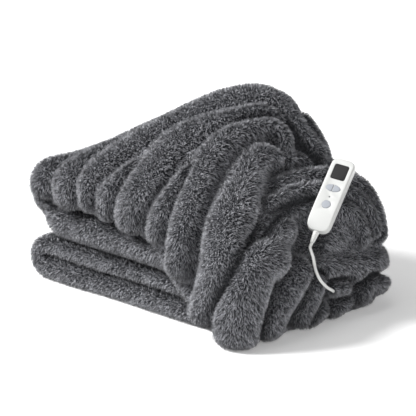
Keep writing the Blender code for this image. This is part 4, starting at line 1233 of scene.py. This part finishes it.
class HEATED_OT_pile(bpy.types.Operator):
    """Strew the faux fur's tufts over all the cloth that shows"""

    bl_idname = "heated_blanket.pile"
    bl_label = "Pile"

    DROOP = 0.6  # how far the pile leans down its slope
    CLEAR_OF_HARD = 0.0012

    def execute(self, context):
        pile = settings("pile")
        skin = bpy.data.objects["blanket_cloth"]
        self.comb(skin.data)
        tuft = tuft_template(pile.length, pile.width)
        tree = pile_tree(tuft, pile_material())
        area = self.strewn_area(skin.data)
        hard = self.hard_tree()
        for k in range(pile.pieces):
            piece = add_object(f"pile_{k + 1}", skin.data)
            strew = piece.modifiers.new("strew", "NODES")
            strew.node_group = tree
            set_input(strew, "Density", pile.tufts / area)
            set_input(strew, "Clump Scale", 1 / pile.clump)
            set_input(strew, "Seed", k + FIRST_SEED)
            applied(piece)
            self.trim(piece, hard)
            settle(piece, CLOTH_BODY, "plush")
        bpy.data.objects.remove(tuft)
        cloth = settings("cloth")
        return {"FINISHED"}

    def comb(self, data):
        """Store the way that the pile stands: off the cloth and a little down its slope."""
        normals = read_each(data.vertices, "normal", 3)
        down = np.array((0.0, 0.0, -1.0)) + normals * normals[:, 2:3]
        comb = data.attributes.get("comb") or data.attributes.new("comb", "FLOAT_VECTOR", "POINT")
        comb.data.foreach_set("vector", (normals + self.DROOP * down).astype(np.float32).ravel())
        kept = data.attributes.new("cloth_normal", "FLOAT_VECTOR", "POINT")
        kept.data.foreach_set("vector", normals.astype(np.float32).ravel())

    @staticmethod
    def strewn_area(data):
        share = read_each(data.attributes["pile_share"].data, "value", kind=np.float32)
        return sum(face.area * float(np.mean(share[list(face.vertices)])) for face in data.polygons)

    @staticmethod
    def hard_tree():
        """The hard pieces that the pile stays out of."""
        mesh = bmesh.new()
        for name, node in NODES.items():
            if name != "blanket":
                mesh.from_mesh(node.data)
        found = BVHTree.FromBMesh(mesh)
        mesh.free()
        return found

    def trim(self, piece, hard):
        """Take out tufts that would stand in a hard piece, and keep the rest off the floor."""
        data = piece.data
        tufts = read_each(data.vertices, "co", 3, np.float32).reshape(-1, TUFT_POINTS, 3)
        low, high = (np.array(corner) for corner in self.hard_bounds())
        near = ((tufts[:, -1] > low) & (tufts[:, -1] < high)).all(axis=1)
        bad = []
        for index in np.flatnonzero(near):
            root, tip = Vector(tufts[index, 0]), Vector(tufts[index, -1])
            way = tip - root
            if hard.ray_cast(root, way.normalized(), way.length + self.CLEAR_OF_HARD)[0] is not None:
                bad.append(index)
            elif hard.find_nearest(tip, self.CLEAR_OF_HARD)[0] is not None:
                bad.append(index)
        tufts[:, :, 2] = np.maximum(tufts[:, :, 2], PILE_OFF_FLOOR)
        data.vertices.foreach_set("co", tufts.ravel())
        if bad:
            mesh = bmesh.new()
            mesh.from_mesh(data)
            mesh.verts.ensure_lookup_table()
            gone = [mesh.verts[TUFT_POINTS * index + k] for index in bad for k in range(TUFT_POINTS)]
            bmesh.ops.delete(mesh, geom=gone, context="VERTS")
            mesh.to_mesh(data)
            mesh.free()

    @staticmethod
    def hard_bounds():
        boxes = [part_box(name) for name in NODES if name != "blanket"]
        low = Vector([min(box[0][k] for box in boxes) - NEAR_HARD for k in range(3)])
        high = Vector([max(box[1][k] for box in boxes) + NEAR_HARD for k in range(3)])
        return low, high


# ---------------------------------------------------------------- controller


FAINT_CLOUD = 0.965  # the darkest places' share of a plastic's colour


def plain_plastic(name, hex_colour, roughness, grain_mm=0.35, grain=0.05):
    """Moulded or extruded plastic: one colour, its highlights broken by a faint fine grain."""
    material, tree, shader = new_material(name, Roughness=roughness, IOR=1.5)
    place = add_node(tree, "ShaderNodeTexCoord")
    speck = add_node(
        tree,
        "ShaderNodeTexNoise",
        {"Vector": place.outputs["Object"], "Scale": 1000 / grain_mm, "Detail": 2.0},
    )
    cloud = add_node(
        tree, "ShaderNodeTexNoise", {"Vector": place.outputs["Object"], "Scale": 35.0, "Detail": 1.0}
    )
    tone = add_node(tree, "ShaderNodeValToRGB", {"Fac": cloud.outputs["Fac"]})
    colour = linear(hex_colour)
    tone.color_ramp.elements[0].color = (*(c * FAINT_CLOUD for c in colour[:3]), 1.0)
    tone.color_ramp.elements[1].color = colour
    tree.links.new(tone.outputs["Color"], shader.inputs["Base Color"])
    bump = add_node(
        tree, "ShaderNodeBump", {"Height": speck.outputs["Fac"], "Strength": grain, "Distance": 0.0002}
    )
    tree.links.new(bump.outputs["Normal"], shader.inputs["Normal"])
    return material


def finished_copy(node, name, body, slot, material, bevel, sharp_angle=35.0):
    """A piece made from a CAD node: faces joined up, hard edges broken and round ones smooth."""
    mesh = merged_copy(node)
    bmesh.ops.dissolve_limit(mesh, angle_limit=FLAT_WITHIN, verts=mesh.verts, edges=mesh.edges)
    piece = mesh_from_bmesh(name, mesh)
    edge = piece.modifiers.new("broken_edges", "BEVEL")
    edge.width = bevel
    edge.segments = 2
    edge.limit_method = "ANGLE"
    edge.angle_limit = math.radians(sharp_angle)
    edge.use_clamp_overlap = True
    applied(piece)
    piece.data.shade_smooth()
    piece.data.set_sharp_from_angle(angle=math.radians(sharp_angle))
    piece.data.materials.clear()
    piece.data.materials.append(material)
    return settle(piece, body, slot, node)


class HEATED_OT_housing(bpy.types.Operator):
    """Finish the controller's housing, its window and its indicator lens"""

    bl_idname = "heated_blanket.housing"
    bl_label = "Controller housing"

    def execute(self, context):
        white = plain_plastic("white_abs", "#cdcecc", 0.38)
        finished_copy("controller_housing", "housing", CLOTH_BODY, "white_plastic", white, bevel=0.00045)
        black = plain_plastic("black_acrylic", "#101011", 0.22, grain=0.01)
        finished_copy("controller_window", "window_pane", CLOTH_BODY, "window", black, bevel=0.0003)
        lens = plain_plastic("smoked_lens", "#6d7074", 0.2)
        finished_copy("controller_indicator", "indicator_lens", CLOTH_BODY, "indicator", lens, bevel=0.0002)
        return {"FINISHED"}


def add_bar(mesh, middle, across, along, facing, wide, long, thick):
    """A flat bar with its middle at a place, its sides along two axes."""
    matrix = Matrix((across, along, facing)).transposed().to_4x4()
    matrix.translation = middle
    stretch = Matrix.Diagonal((wide, long, thick, 1.0))
    bmesh.ops.create_cube(mesh, size=1.0, matrix=matrix @ stretch)


class HEATED_OT_keys(bpy.types.Operator):
    """Finish the three keys and their plain printed marks"""

    bl_idname = "heated_blanket.keys"
    bl_label = "Keys"

    MARK_SIZE = 0.0052
    MARK_STROKE = 0.0009
    MARK_THICK = 0.00016
    RING_STEPS = 20
    RING_GAP = math.radians(35)  # to each side of the power mark's bar
    BAR_UP = 0.75  # of the ring's radius, to the bar's middle
    BAR_LENGTH = 0.5  # of the mark's size

    def execute(self, context):
        grey = plain_plastic("soft_touch_grey", "#9fa3aa", 0.55)
        ink = plain_plastic("printed_mark", "#d9dbde", 0.6)
        foot, across, along, facing = controller_axes()
        for name in KEY_NAMES:
            finished_copy(name, f"{name}_cap", name, "keys", grey, bevel=0.0003)
            top = middle_of(name)
            face = foot + facing * (CONTROLLER_THICKNESS + KEY_PROUD + self.MARK_THICK / 2)
            top += facing * (face - top).dot(facing)
            mesh = bmesh.new()
            if name == "key_power":
                self.power_mark(mesh, top, across, along, facing)
            else:
                self.bar(mesh, top, across, along, facing)
                if name == "key_plus":
                    self.bar(mesh, top, along, across, facing)
            mark = mesh_from_bmesh(name.replace("key", "mark"), mesh)
            mark.data.materials.append(ink)
            settle(mark, name, "keys")
        return {"FINISHED"}

    def bar(self, mesh, top, across, along, facing):
        add_bar(mesh, top, across, along, facing, self.MARK_SIZE, self.MARK_STROKE, self.MARK_THICK)

    def power_mark(self, mesh, top, across, along, facing):
        """An open ring with a bar at its gap."""
        radius = self.MARK_SIZE / 2
        rows = []
        for k in range(self.RING_STEPS + 1):
            turned = 2 * (math.pi - self.RING_GAP) * k / self.RING_STEPS
            angle = math.pi / 2 + self.RING_GAP + turned
            way = across * math.cos(angle) + along * math.sin(angle)
            row = []
            for far, up in ((-1, -1), (1, -1), (1, 1), (-1, 1)):
                place = top + way * (radius + far * self.MARK_STROKE / 2)
                row.append(mesh.verts.new(place + facing * (up * self.MARK_THICK / 2)))
            rows.append(row)
        for one, other in zip(rows, rows[1:]):
            for k in range(4):
                mesh.faces.new((one[k - 1], one[k], other[k], other[k - 1]))
        mesh.faces.new(rows[0])
        mesh.faces.new(rows[-1][::-1])
        upper = top + along * radius * self.BAR_UP
        tall = self.MARK_SIZE * self.BAR_LENGTH
        add_bar(mesh, upper, across, along, facing, self.MARK_STROKE, tall, self.MARK_THICK)
        bmesh.ops.recalc_face_normals(mesh, faces=mesh.faces)


class HEATED_OT_sleeve(bpy.types.Operator):
    """Finish the ribbed strain relief at the controller's foot"""

    bl_idname = "heated_blanket.sleeve"
    bl_label = "Strain relief"

    def execute(self, context):
        soft_white = plain_plastic("soft_white_pvc", "#dcdcda", 0.45)
        finished_copy("strain_relief", "relief_sleeve", CLOTH_BODY, "sleeve", soft_white, bevel=0.0002)
        return {"FINISHED"}


class HEATED_OT_cord(bpy.types.Operator):
    """Make the white cord that hangs from the sleeve and goes into a fold of the cloth"""

    bl_idname = "heated_blanket.cord"
    bl_label = "Cord"

    def execute(self, context):
        points = cord_route() + heap_shift()
        data = bpy.data.curves.new("flex", "CURVE")
        data.dimensions = "3D"
        spline = data.splines.new("POLY")
        spline.points.add(len(points) - 1)
        for point, place in zip(spline.points, points):
            point.co = (*place, 1.0)
        data.bevel_depth = CORD_RADIUS
        data.bevel_resolution = 5
        data.use_fill_caps = True
        flex = add_object("flex", data)
        data.materials.append(plain_plastic("white_pvc_jacket", "#e0e0de", 0.45))
        settle(flex, CLOTH_BODY, "cord", "cord")
        return {"FINISHED"}


# ---------------------------------------------------------------- panel and run


STEPS = (
    HEATED_OT_stage,
    HEATED_OT_cord,
    HEATED_OT_cloth,
    HEATED_OT_pile,
    HEATED_OT_housing,
    HEATED_OT_keys,
    HEATED_OT_sleeve,
)


class HEATED_PT_panel(bpy.types.Panel):
    """The steps that make the blanket, in their order"""

    bl_label = "Heated blanket"
    bl_idname = "HEATED_PT_panel"
    bl_space_type = "VIEW_3D"
    bl_region_type = "UI"
    bl_category = "Heated blanket"

    def draw(self, context):
        for step in STEPS:
            self.layout.operator(step.bl_idname)


CLASSES = (*SETTINGS.values(), *STEPS, HEATED_PT_panel)


def register():
    for made in CLASSES:
        bpy.utils.register_class(made)
    for name, group in SETTINGS.items():
        setattr(bpy.types.Scene, f"heated_blanket_{name}", bpy.props.PointerProperty(type=group))


def unregister():
    for name in SETTINGS:
        delattr(bpy.types.Scene, f"heated_blanket_{name}")
    for made in reversed(CLASSES):
        bpy.utils.unregister_class(made)


def main():
    register()
    for step in STEPS:
        category, name = step.bl_idname.split(".")
        getattr(getattr(bpy.ops, category), name)()


if __name__ == "__main__":
    main()
